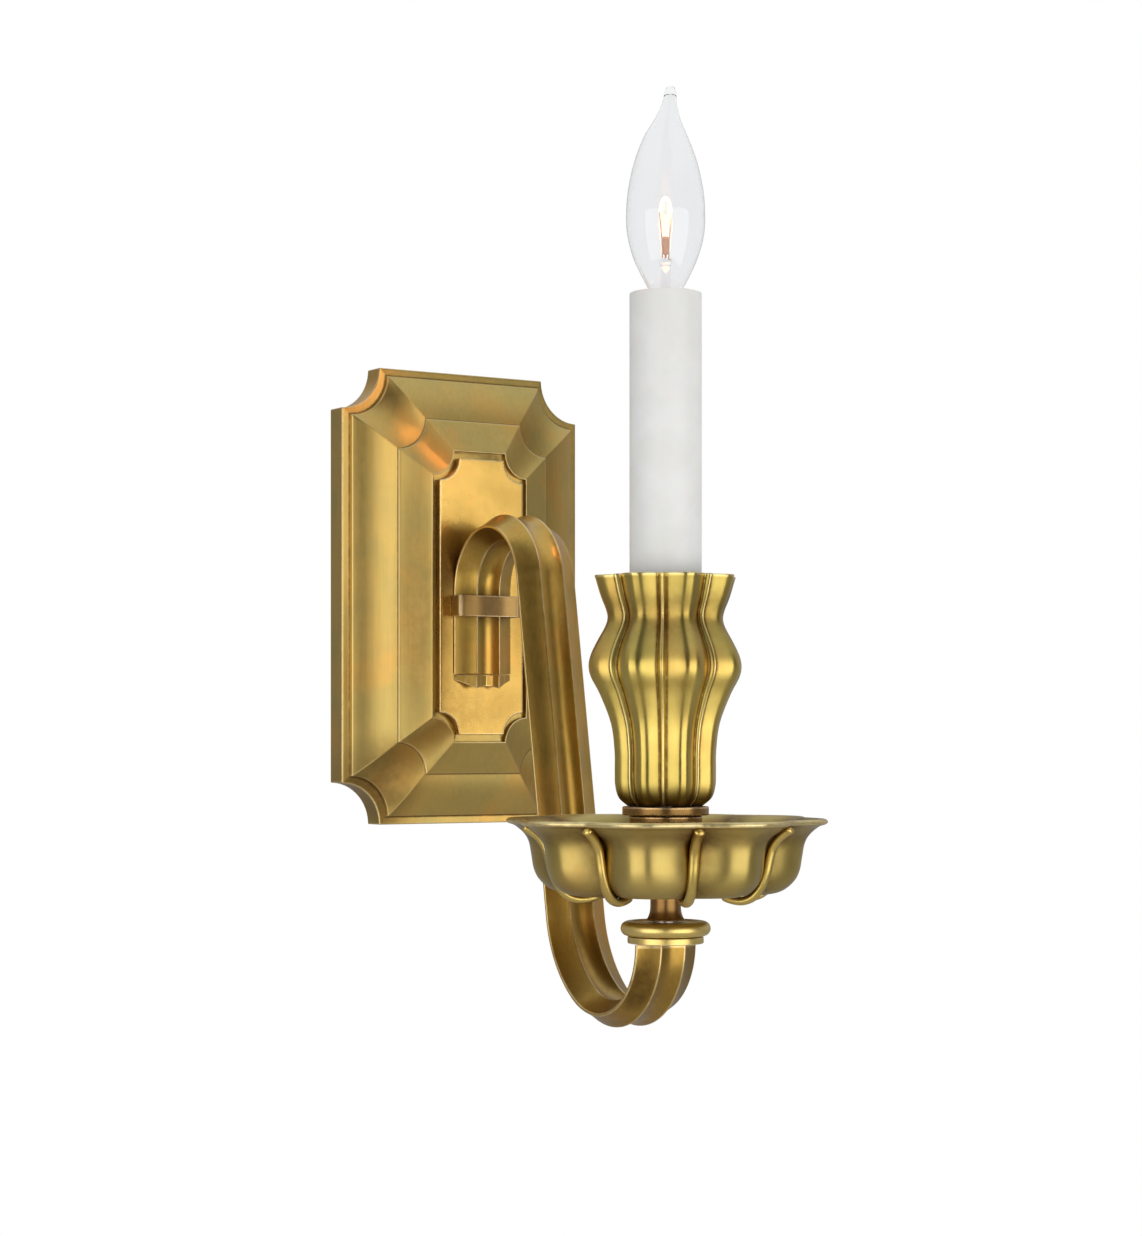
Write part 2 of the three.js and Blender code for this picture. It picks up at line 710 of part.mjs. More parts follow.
const NUT_FOOT = LEVEL.cupUnder + CUP.floor + GAP + 1 + GAP;
const STRAP_FOOT = NUT_FOOT + NUT.height + GAP;
const TUBE_TOP = STRAP_FOOT + 4.5;

function centreTube() {
  const { inner, outer } = TUBE;
  const foot = LEVEL.armEnd + GAP;
  return turnedRing([[inner, foot], [outer, foot], [outer, TUBE_TOP], [inner, TUBE_TOP]]);
}

function cupWasher() {
  const radius = 9;
  const [foot, top] = [NUT_FOOT - GAP - 1, NUT_FOOT - GAP];
  return turnedRing([[TUBE.hole, foot], [radius, foot], [radius, top], [TUBE.hole, top]]);
}

function cupNut() {
  const hexagon = barUp(NUT.acrossFlats / Math.sqrt(3), NUT_FOOT, NUT_FOOT + NUT.height, 6);
  return cut(hexagon, barUp(TUBE.hole, NUT_FOOT - 1, NUT_FOOT + NUT.height + 1));
}

// Bent strap that stands the socket on the centre tube.
function socketStrap() {
  const { inner, outer, halfWidth: half, thickness } = STRAP;
  const top = LEVEL.socketFoot - GAP;
  const foot = box([-7.5, -6.5, STRAP_FOOT], [outer, 6.5, STRAP_FOOT + thickness]);
  const upright = box([inner, -half, STRAP_FOOT], [outer, half, top]);
  const head = box([-6, -half, top - thickness], [outer, half, top]);
  return cut(join(foot, upright, head), barUp(TUBE.hole, STRAP_FOOT - 1, STRAP_FOOT + 3));
}

// Round bar along X.
function barAcross(radius, from, to, segments = 14) {
  const rod = new THREE.CylinderGeometry(radius, radius, to - from, segments);
  return rod.rotateZ(Math.PI / 2).translate((from + to) / 2, 0, 0);
}

function socketBody() {
  const { radius, bore, terminalZ } = SOCKET;
  const { socketFoot: foot, socketTop: top } = LEVEL;
  const floor = LEVEL.bulbContact - 2.5;
  const body = turned([
    [0, foot], [radius - 0.6, foot], [radius, foot + 0.6], [radius, top - 0.6],
    [radius - 0.6, top], [bore, top], [bore, floor], [0, floor],
  ], 28);
  const screwHoles = [1, -1].map((side) => {
    const rod = barAcross(1.5, radius - 1.5, radius + 1.5).rotateZ(side > 0 ? 0 : Math.PI);
    return rod.translate(0, 0, foot + terminalZ);
  });
  return cut(body, ...screwHoles);
}

function terminalScrew(side) {
  const { radius, terminalZ } = SOCKET;
  const head = barAcross(2.2, radius + GAP, radius + 1.7);
  const shank = barAcross(1.1, radius - 1.1, radius + 0.8);
  const slotted = cut(join(head, shank), box([radius + 1.2, -3, -0.35], [radius + 3, 3, 0.35]));
  return slotted.rotateZ(side > 0 ? 0 : Math.PI).translate(0, 0, LEVEL.socketFoot + terminalZ);
}

function socketContact() {
  return barUp(SOCKET.contactRadius, LEVEL.bulbContact - 2.2, LEVEL.bulbContact - GAP, 16);
}

// Threaded shell: rounded ridges in rings between two heights.
function threadedShell(outer, inner, foot, top) {
  const { ridges, depth } = THREAD;
  const wavy = (radius) => Array.from({ length: ridges * 2 + 1 }, (_, k) => {
    return [radius - (k % 2 ? 0 : depth), foot + ((top - foot) * k) / (2 * ridges)];
  });
  return turnedRing([...wavy(outer), ...wavy(inner).reverse()], 20);
}

function candleSleeve() {
  const { inner, outer } = SLEEVE;
  const [foot, top] = [LEVEL.sleeveFoot, LEVEL.sleeveTop];
  return turnedRing([
    [inner, foot], [outer, foot], [outer, top - 0.4], [outer - 0.4, top], [inner, top],
  ], 32);
}

// ---------------------------------------------------------------- bulb

function bulbContact() {
  const foot = LEVEL.bulbContact;
  return turned([[0, foot], [1.6, foot + 0.3], [2.2, foot + 1.4], [0, foot + 1.4]], 16);
}

function bulbInsulator() {
  const [foot, top] = [LEVEL.bulbContact + 1.7, LEVEL.bulbContact + 4.2];
  return turned([[0, foot], [2.6, foot], [4.9, top], [0, top]], 20);
}

function bulbProfile() {
  return splinePairs([
    [BULB.neck, 96], [BULB.neck, 109], [6.4, 115.9], [10.1, 123.3], [13.2, 130.4],
    [15.4, 139], [15.9, 147.5], [15.1, 157], [12.7, 168], [9.1, 177.7],
    [5.2, 185.4], [3, 191.6], [2.5, 196.4], [0, BULB.top],
  ], 16);
}

// Flame-shaped glass, open at the neck, its tip bent a little to one side.
function bulbGlass() {
  const outside = bulbProfile();
  const inside = outside.slice(0, -3).reverse().map(([radius, height]) => [radius - BULB.glass, height]);
  const crown = [0, inside[0][1] + 1.2];
  const glass = turned([...outside, crown, ...inside, outside[0]], 20);
  const at = glass.attributes.position;
  for (let i = 0; i < at.count; i += 1) {
    at.setX(i, at.getX(i) + BULB.tipShift * THREE.MathUtils.smoothstep(at.getZ(i), 176, BULB.top));
  }
  return glass.rotateZ(THREE.MathUtils.degToRad(BULB.tipTurn));
}

function bulbStem() {
  return turned([
    [0, 98], [3.6, 98], [3.2, 108], [2.2, 114], [1.9, STEM_TOP - 3],
    [2.5, STEM_TOP - 1.2], [2.5, STEM_TOP], [0, STEM_TOP],
  ], 16);
}

function tubeAlong(curve, radius, steps) {
  const outline = circlePairs(radius, 6).map(([x, y]) => new THREE.Vector2(x, y));
  const settings = { steps, bevelEnabled: false, extrudePath: curve };
  return new THREE.ExtrudeGeometry(new THREE.Shape(outline), settings);
}

// Arch of fine coiled wire, drawn as one tube that sways a little.
function filament() {
  const { foot, rise, halfWidth, radius } = FILAMENT;
  const points = Array.from({ length: 13 }, (_, k) => {
    const swing = (k / 12) * Math.PI;
    const sway = 0.5 * Math.sin(4 * swing);
    return new THREE.Vector3(halfWidth * Math.cos(swing), sway, foot + rise * Math.sin(swing));
  });
  return tubeAlong(new THREE.CatmullRomCurve3(points), radius, 24);
}

function leadWire(side) {
  const { radius, foot, top, footSpread, topSpread } = LEAD_WIRE;
  const curve = new THREE.CatmullRomCurve3([
    new THREE.Vector3(side * footSpread, 0, foot),
    new THREE.Vector3(side * (footSpread + 0.2), 0, foot + 5),
    new THREE.Vector3(side * topSpread, 0, top),
  ]);
  return tubeAlong(curve, radius, 6);
}

// ---------------------------------------------------------------- assembly

place(sconce, "wall_bracket", wallBracket(), STEEL);
place(sconce, "ground_screw", groundScrew(), GREEN);
place(sconce, "set_screw_top", setScrew(1), STEEL);
place(sconce, "set_screw_bottom", setScrew(-1), STEEL);
place(sconce, "backplate", backplate(), BRASS);
place(sconce, "centre_panel", centrePanel(), WARM_BRASS);
ARM_SCREWS_Z.forEach((z, k) => {
  const which = ["upper", "lower"][k];
  const washerFront = WELL_BACK - GAP;
  const washerBack = washerFront - WASHER.thickness;
  const washer = ringOut(WASHER.radius, WASHER.hole, washerBack, washerFront, z);
  const screw = panScrew(ARM_SCREW, washerBack - GAP, ARM_BACK + ARM_SCREW.depthInArm, 0, z);
  place(sconce, `arm_washer_${which}`, washer, STEEL);
  place(sconce, `arm_screw_${which}`, screw, STEEL);
});
place(sconce, "wire_bushing", wireBushing(), DARK);
place(sconce, "arm", armBody(), BRASS);
place(sconce, "arm_end_cap", armEndCap(), BRASS);
place(sconce, "arm_band", armBand(), BRASS);
place(sconce, "supply_lead", supplyLead(), DARK);

place(candle, "arm_end_collar", armEndCollar(), BRIGHT_BRASS);
place(candle, "arm_end_disc", armEndDisc(), BRIGHT_BRASS);
place(candle, "neck_spool", neckSpool(), BRASS);
place(candle, "drip_dish", dripDish(), BRIGHT_BRASS);
place(candle, "dish_spacer", dishSpacer(), COPPERY);
const { rim, lowRingTop, highRingTop } = LEVEL;
place(candle, "seat_ring_lower", seatRing(SEAT_RINGS.lower, rim, lowRingTop), COPPERY);
place(candle, "seat_ring_upper", seatRing(SEAT_RINGS.upper, lowRingTop + GAP, highRingTop), COPPERY);
place(candle, "candle_cup", candleCup(), BRIGHT_BRASS);
place(candle, "centre_tube", centreTube(), STEEL);
place(candle, "cup_washer", cupWasher(), STEEL);
place(candle, "cup_nut", cupNut(), BRIGHT_BRASS);
place(candle, "socket_strap", socketStrap(), STEEL);
place(candle, "socket_body", socketBody(), DARK);
const { shellOuter, shellInner, shellFoot, shellTop } = SOCKET;
place(candle, "socket_shell", threadedShell(shellOuter, shellInner, shellFoot, shellTop), BRIGHT_BRASS);
place(candle, "socket_contact", socketContact(), BRIGHT_BRASS);
place(candle, "terminal_screw_left", terminalScrew(-1), BRIGHT_BRASS);
place(candle, "terminal_screw_right", terminalScrew(1), STEEL);
place(candle, "candle_sleeve", candleSleeve(), WHITE);

const bulbShell = threadedShell(BULB.shell, BULB.shellInner, BULB.shellFoot, BULB.shellTop);
place(candle, "bulb_contact", bulbContact(), STEEL);
place(candle, "bulb_insulator", bulbInsulator(), DARK);
place(candle, "bulb_screw_shell", bulbShell, BRIGHT_BRASS);
place(candle, "bulb_glass", bulbGlass(), GLASS);
place(candle, "bulb_stem", bulbStem(), GLASS);
place(candle, "lead_wire_left", leadWire(-1), STEEL);
place(candle, "lead_wire_right", leadWire(1), STEEL);
place(candle, "filament", filament(), GLOW);

export default sconce;
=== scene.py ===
"""Looks of a brass wall sconce: backplate, looped arm, drip dish, fluted cup, sleeve and flame-tip bulb.

Shapes are worked out in millimetres and turned into metres where a mesh is made.
"Reach" is distance out from the wall, which is -Y.
"""

import math
from contextlib import contextmanager

import bmesh
import bpy
import numpy as np
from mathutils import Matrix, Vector


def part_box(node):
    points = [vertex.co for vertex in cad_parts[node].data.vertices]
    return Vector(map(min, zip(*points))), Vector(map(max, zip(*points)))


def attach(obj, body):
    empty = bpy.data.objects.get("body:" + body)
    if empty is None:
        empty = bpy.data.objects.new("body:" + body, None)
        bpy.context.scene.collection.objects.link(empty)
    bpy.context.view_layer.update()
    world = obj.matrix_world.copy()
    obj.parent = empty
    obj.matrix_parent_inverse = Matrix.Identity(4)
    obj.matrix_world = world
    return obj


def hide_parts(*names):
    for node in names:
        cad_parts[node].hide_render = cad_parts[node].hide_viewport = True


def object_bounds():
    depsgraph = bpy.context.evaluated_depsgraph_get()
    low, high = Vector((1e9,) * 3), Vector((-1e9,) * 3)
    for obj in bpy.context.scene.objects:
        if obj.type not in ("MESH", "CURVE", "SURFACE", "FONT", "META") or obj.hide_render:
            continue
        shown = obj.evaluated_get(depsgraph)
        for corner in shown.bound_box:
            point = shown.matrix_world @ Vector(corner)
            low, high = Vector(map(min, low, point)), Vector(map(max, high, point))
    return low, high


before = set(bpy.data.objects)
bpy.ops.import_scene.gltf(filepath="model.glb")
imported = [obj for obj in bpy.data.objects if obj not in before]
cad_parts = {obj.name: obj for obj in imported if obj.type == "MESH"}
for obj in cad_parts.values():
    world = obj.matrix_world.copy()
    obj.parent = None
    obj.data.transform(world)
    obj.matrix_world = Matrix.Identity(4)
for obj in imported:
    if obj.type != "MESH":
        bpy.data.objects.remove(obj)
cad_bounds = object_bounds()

MM = 0.001
GAP = 0.3  # left between neighbouring pieces
NOTHING = 1e-6  # radii below this lie on the axis


def box_mm(node):
    """Lowest and highest corner of a CAD node, in millimetres."""
    low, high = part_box(node)
    return np.array(low) / MM, np.array(high) / MM


def centre_mm(node):
    low, high = box_mm(node)
    return (low + high) / 2


# ---------------------------------------- mesh tools


def make_object(name, verts, faces):
    """A mesh from points in millimetres."""
    mesh = bpy.data.meshes.new(name)
    mesh.from_pydata([tuple(v * MM for v in vert) for vert in verts], [], faces)
    mesh.validate()
    mesh.update()
    obj = bpy.data.objects.new(name, mesh)
    bpy.context.scene.collection.objects.link(obj)
    return obj


@contextmanager
def edited(obj):
    """A piece's mesh, open for changes that are written back at the end."""
    bm = bmesh.new()
    bm.from_mesh(obj.data)
    yield bm
    bm.to_mesh(obj.data)
    bm.free()


def face_outward(obj):
    with edited(obj) as bm:
        bmesh.ops.recalc_face_normals(bm, faces=bm.faces)


def grid_object(name, rings, loop=False):
    """Skins closed rings of points. A loop joins its last ring to its first, and otherwise
    both ends are capped."""
    rings = np.asarray(rings, float)
    count, width = rings.shape[:2]
    faces = []
    for row in range(count if loop else count - 1):
        here, there = row * width, ((row + 1) % count) * width
        for i in range(width):
            j = (i + 1) % width
            faces.append((here + i, here + j, there + j, there + i))
    if not loop:
        faces.append(tuple(range(width))[::-1])
        faces.append(tuple(range((count - 1) * width, count * width)))
    obj = make_object(name, rings.reshape(-1, 3), faces)
    face_outward(obj)
    return obj


def whole_turn(steps):
    """Evenly spaced angles round a circle."""
    return np.linspace(0, 2 * math.pi, steps, endpoint=False)


def turned_object(name, profile, centre, segments=96):
    """Solid of revolution about a vertical axis, from (radius, height) pairs that end on the axis
    or close on themselves."""
    angles = whole_turn(segments)
    verts, rows = [], []
    for radius, height in profile:
        count = 1 if radius < NOTHING else segments
        rows.append(range(len(verts), len(verts) + count))
        verts += [(centre[0] + radius * math.cos(a), centre[1] + radius * math.sin(a), height)
                  for a in angles[:count]]
    closed = profile[0][0] > NOTHING
    faces = []
    for k in range(len(rows) if closed else len(rows) - 1):
        low, high = rows[k], rows[(k + 1) % len(rows)]
        for i in range(segments):
            j = (i + 1) % segments
            corners = (low[i % len(low)], low[j % len(low)], high[j % len(high)], high[i % len(high)])
            faces.append(tuple(dict.fromkeys(corners)))
    obj = make_object(name, verts, faces)
    face_outward(obj)
    return obj


def quadratic(a, b, c, steps):
    """Points along the curve that leaves a and reaches c, both in line with b."""
    t = np.linspace(0, 1, steps + 1)[:, None]
    return (1 - t) ** 2 * a + 2 * t * (1 - t) * b + t**2 * c


CORNER_SHARE = 0.4  # most of a side that a rounded corner takes
GUARD_SHARE = 0.47  # most of a side that a corner and its guard point take


def rounded(points, radii, closed=False, steps=4, guard=0.7):
    """Rounds a polyline's corners. Each rounded corner also gets a guard point on either side,
    so that the flats beside it shade flat."""
    points = [np.array(p, float) for p in points]
    last = len(points) - 1
    out = []
    for i, (point, radius) in enumerate(zip(points, radii)):
        if radius == 0 or (not closed and i in (0, last)):
            out.append(point)
            continue
        before = points[i - 1] - point
        after = points[(i + 1) % len(points)] - point
        ends = []
        for side in (before, after):
            length = np.linalg.norm(side)
            ends.append([point + side / length * min(reach, share * length)
                         for reach, share in ((radius + guard, GUARD_SHARE), (radius, CORNER_SHARE))])
        out += [ends[0][0], *quadratic(ends[0][1], point, ends[1][1], steps), ends[1][0]]
    return out


def spline(points, steps):
    """Smooth curve through the points (Catmull-Rom), as a list of arrays."""
    points = [np.array(p, float) for p in points]
    points = [2 * points[0] - points[1], *points, 2 * points[-1] - points[-2]]
    out = []
    for p0, p1, p2, p3 in zip(points, points[1:], points[2:], points[3:]):
        for k in range(steps):
            t = k / steps
            out.append(0.5 * (2 * p1 + (p2 - p0) * t + (2 * p0 - 5 * p1 + 4 * p2 - p3) * t**2
                              + (3 * p1 - p0 - 3 * p2 + p3) * t**3))
    return [*out, points[-2]]


def smoothstep(value, low, high):
    t = np.clip((value - low) / (high - low), 0, 1)
    return t * t * (3 - 2 * t)


def shade(obj, angle):
    """Smooth shading, kept sharp where two faces meet at more than the angle."""
    obj.data.shade_smooth()
    obj.data.set_sharp_from_angle(angle=math.radians(angle))


def settle_modifiers(obj):
    """Makes what the modifiers do to a piece its own mesh."""
    graph = bpy.context.evaluated_depsgraph_get()
    mesh = bpy.data.meshes.new_from_object(obj.evaluated_get(graph))
    obj.modifiers.clear()
    obj.data = mesh


SHORTEST_EDGE = 0.01  # for curvature, in millimetres
SHARPEST = 2.0  # limit on curvature, in 1/mm


def mark_curvature(obj):
    """Stores how sharply the surface bends at each vertex: above 0 on edges, below 0 in creases."""
    mesh = obj.data
    count = len(mesh.vertices)
    at, normal = np.empty(count * 3), np.empty(count * 3)
    mesh.vertices.foreach_get("co", at)
    mesh.vertices.foreach_get("normal", normal)
    at, normal = at.reshape(-1, 3) / MM, normal.reshape(-1, 3)
    edges = np.empty(len(mesh.edges) * 2, int)
    mesh.edges.foreach_get("vertices", edges)
    a, b = edges.reshape(-1, 2).T
    step, bend = at[b] - at[a], normal[b] - normal[a]
    curve = (bend * step).sum(1) / np.maximum((step**2).sum(1), SHORTEST_EDGE**2)
    order = np.argsort(np.abs(curve))  # the strongest is written last
    curve = curve[order]
    strongest = np.zeros(count)
    for ends in (a[order], b[order]):
        strongest[ends] = np.where(np.abs(curve) > np.abs(strongest[ends]), curve, strongest[ends])
    attribute = mesh.attributes.new("curve", "FLOAT", "POINT")
    attribute.data.foreach_set("value", np.clip(strongest, -SHARPEST, SHARPEST).astype(np.float32))


def settle(obj, material, body, nodes, angle=40):
    """Gives a finished piece its material and body, and hides the CAD nodes it replaces."""
    shade(obj, angle)
    mark_curvature(obj)
    obj.data.materials.clear()
    obj.data.materials.append(material)
    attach(obj, body)
    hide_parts(*nodes)
    return obj


WELD = 0.02  # points closer than this are one
FLAT_WITHIN = 1  # degrees between faces that are merged
SMALLEST_FLAT = 3  # square millimetres
FLAT_BORDER = 0.35  # keeps a flat face's shading flat up to its eased edge


def refined(node, name, bevel):
    """A copy of a CAD node with its flat faces merged and its edges eased."""
    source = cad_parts[node]
    obj = bpy.data.objects.new(name, source.data.copy())
    bpy.context.scene.collection.objects.link(obj)
    with edited(obj) as bm:
        bmesh.ops.remove_doubles(bm, verts=bm.verts, dist=WELD * MM)
        bmesh.ops.dissolve_limit(bm, angle_limit=math.radians(FLAT_WITHIN), verts=bm.verts, edges=bm.edges)
    ease = obj.modifiers.new("ease", "BEVEL")
    ease.width = bevel * MM
    ease.segments = 3
    ease.limit_method = "ANGLE"
    ease.angle_limit = math.radians(25)
    settle_modifiers(obj)
    with edited(obj) as bm:
        flats = [face for face in bm.faces if face.calc_area() > SMALLEST_FLAT * MM**2]
        bmesh.ops.inset_individual(bm, faces=flats, thickness=FLAT_BORDER * MM, use_even_offset=True)
    return obj


# ---------------------------------------- material tools


class Graph:
    """Adds linked nodes to one node tree."""

    def __init__(self, tree):
        self.tree = tree

    def put(self, socket, value):
        """Links a socket to a value, or sets it. Colours come without their alpha."""
        if isinstance(value, bpy.types.NodeSocket):
            self.tree.links.new(value, socket)
        elif socket.type == "RGBA":
            socket.default_value = (*value, 1)
        else:
            socket.default_value = value

    def fill(self, made, inputs):
        for key, value in inputs.items():
            self.put(made.inputs[key.replace("_", " ")], value)
        return made

    def node(self, kind, **inputs):
        return self.fill(self.tree.nodes.new(kind), inputs)

    def math(self, operation, a, b, clamp=False):
        made = self.node("ShaderNodeMath")
        made.operation = operation
        made.use_clamp = clamp
        self.put(made.inputs[0], a)
        self.put(made.inputs[1], b)
        return made.outputs[0]

    def vector(self, operation, *values):
        made = self.node("ShaderNodeVectorMath")
        made.operation = operation
        for socket, value in zip(made.inputs, values):
            self.put(socket, value)
        return made.outputs["Value" if operation in ("LENGTH", "DOT_PRODUCT") else "Vector"]

    def ramp(self, value, low, high, to_low=0.0, to_high=1.0):
        made = self.node("ShaderNodeMapRange", Value=value, From_Min=low, From_Max=high,
                         To_Min=to_low, To_Max=to_high)
        made.interpolation_type = "SMOOTHSTEP"
        return made.outputs["Result"]

    def mix(self, share, a, b):
        made = self.node("ShaderNodeMix")
        made.data_type = "RGBA"
        for key, value in (("Factor", share), (6, a), (7, b)):
            self.put(made.inputs[key], value)
        return made.outputs[2]

    def seen_directly(self):
        """1 for what the eye sees straight or through glass, 0 for reflections and light."""
        path = self.node("ShaderNodeLightPath")
        return self.math("MAXIMUM", path.outputs["Is Camera Ray"], path.outputs["Is Transmission Ray"])

    def blend_shaders(self, share, first, second, output):
        """Sends a blend of two shaders to the output's surface."""
        mix = self.node("ShaderNodeMixShader")
        for socket, value in zip(mix.inputs, (share, first.outputs[0], second.outputs[0])):
            self.put(socket, value)
        self.put(output.inputs["Surface"], mix.outputs[0])


class Shader(Graph):
    """A graph that makes one material."""

    def __init__(self, name):
        self.material = bpy.data.materials.new(name)
        self.material.use_nodes = True
        super().__init__(self.material.node_tree)
        self.surface = self.tree.nodes["Principled BSDF"]
        self.place = self.node("ShaderNodeTexCoord").outputs["Object"]

    def noise(self, scale, detail, roughness, stretch=(1, 1, 1), shift=(0, 0, 0)):
        mapping = self.node("ShaderNodeMapping", Vector=self.place, Scale=stretch, Location=shift)
        made = self.node("ShaderNodeTexNoise", Vector=mapping.outputs[0], Scale=scale, Detail=detail,
                         Roughness=roughness)
        return made.outputs["Fac"]

    def stored(self, name):
        """A value kept on the mesh, or 0 where the mesh has none of that name."""
        made = self.node("ShaderNodeAttribute")
        made.attribute_name = name
        return made.outputs["Fac"]

    def shade_patch(self, centre, radii):
        """1 in the middle of a soft patch of painted shade given in millimetres, 0 outside it."""
        away = self.vector("SUBTRACT", self.place, [n * MM for n in centre])
        away = self.vector("DIVIDE", away, [n * MM for n in radii])
        return self.ramp(self.vector("LENGTH", away), 0.35, 1.0, 1.0, 0.0)

    def bump(self, height, distance):
        """A normal from a height that runs from 0 to 1, over a distance in millimetres."""
        return self.node("ShaderNodeBump", Height=height, Distance=distance * MM).outputs["Normal"]

    def brush_round(self):
        """Marks of turning on a lathe, which stretch highlights up and down."""
        tangent = self.node("ShaderNodeTangent")
        tangent.direction_type = "RADIAL"
        tangent.axis = "Z"
        self.finish(Tangent=tangent.outputs[0], Anisotropic=0.75, Anisotropic_Rotation=0.25)

    def finish(self, **inputs):
        self.fill(self.surface, inputs)
        return self.material


FINE_BUMP = 0.02  # millimetres
PATCHES = 38  # of one tone or the other, to the metre
WARM_SHARE = 0.7  # how fully a warm bloom covers them


def brass(name, olive, gold, warm, dark, lit, roughness, streak=0.35, stretch=(1, 1, 0.04),
          wear=(0.25, 0.9), crease=(-0.4, -1.4), grain=0.002, speckle=0.12, painted_shades=(), spun=False):
    """Satin brass: two soft tones, warm blooms, fine brushed streaks, rubbed edges, painted shade in
    creases and painted shade from the mesh or from soft patches. Wear and crease are ranges of curvature. A
    painted shade patch is a centre, radii and a strength."""
    s = Shader(name)
    tone = s.mix(s.ramp(s.noise(PATCHES, 3, 0.5), 0.38, 0.62), olive, gold)
    bloom = s.ramp(s.noise(PATCHES * 0.8, 3, 0.55, shift=(3.1, 1.7, 0.4)), 0.50, 0.70, 0, WARM_SHARE)
    tone = s.mix(bloom, tone, warm)
    lines = s.noise(900, 3, 0.6, stretch=stretch)
    mottle = s.noise(PATCHES * 9, 3, 0.6, shift=(0.7, 2.2, 1.1))
    uneven = s.math("ADD", s.math("MULTIPLY", s.math("SUBTRACT", lines, 0.5), streak),
                    s.math("MULTIPLY", s.math("SUBTRACT", mottle, 0.5), speckle))
    tone = s.mix(s.math("MULTIPLY", uneven, 1.0, clamp=True), tone, lit)
    tone = s.mix(s.math("MULTIPLY", uneven, -1.0, clamp=True), tone, dark)
    bend = s.stored("curve")
    # painted shade: creases are darkened by their curvature, standing in for the shade that gathers in them
    painted_crease_shade = s.math("MULTIPLY", s.ramp(bend, *crease), s.ramp(mottle, 0.25, 0.6, 0.35, 0.7))
    tone = s.mix(painted_crease_shade, tone, dark)
    # painted shade: the mesh's stored shade and soft patches of shade darken the tone
    painted_shade = s.stored("painted_shade")
    for centre, radii, strength in painted_shades:
        painted_shade = s.math("MAXIMUM", painted_shade, s.math("MULTIPLY", s.shade_patch(centre, radii), strength))
    painted_shade = s.math("MULTIPLY", painted_shade, s.ramp(mottle, 0.25, 0.7, 0.75, 1.0))
    tone = s.mix(painted_shade, tone, dark)
    rubbed = s.math("MULTIPLY", s.ramp(bend, *wear), s.ramp(mottle, 0.3, 0.6, 0.5, 0.85))
    tone = s.mix(rubbed, tone, lit)
    rough = s.math("ADD", s.ramp(mottle, 0.3, 0.7, roughness - 0.015, roughness + 0.015),
                   s.math("MULTIPLY", s.math("ADD", painted_crease_shade, painted_shade), 0.12))
    height = s.math("ADD", s.math("MULTIPLY", lines, 0.7), s.math("MULTIPLY", s.noise(2200, 2, 0.5), 0.3))
    if spun:
        s.brush_round()
    return s.finish(Base_Color=tone, Metallic=1.0, Roughness=rough, Normal=s.bump(height, grain))


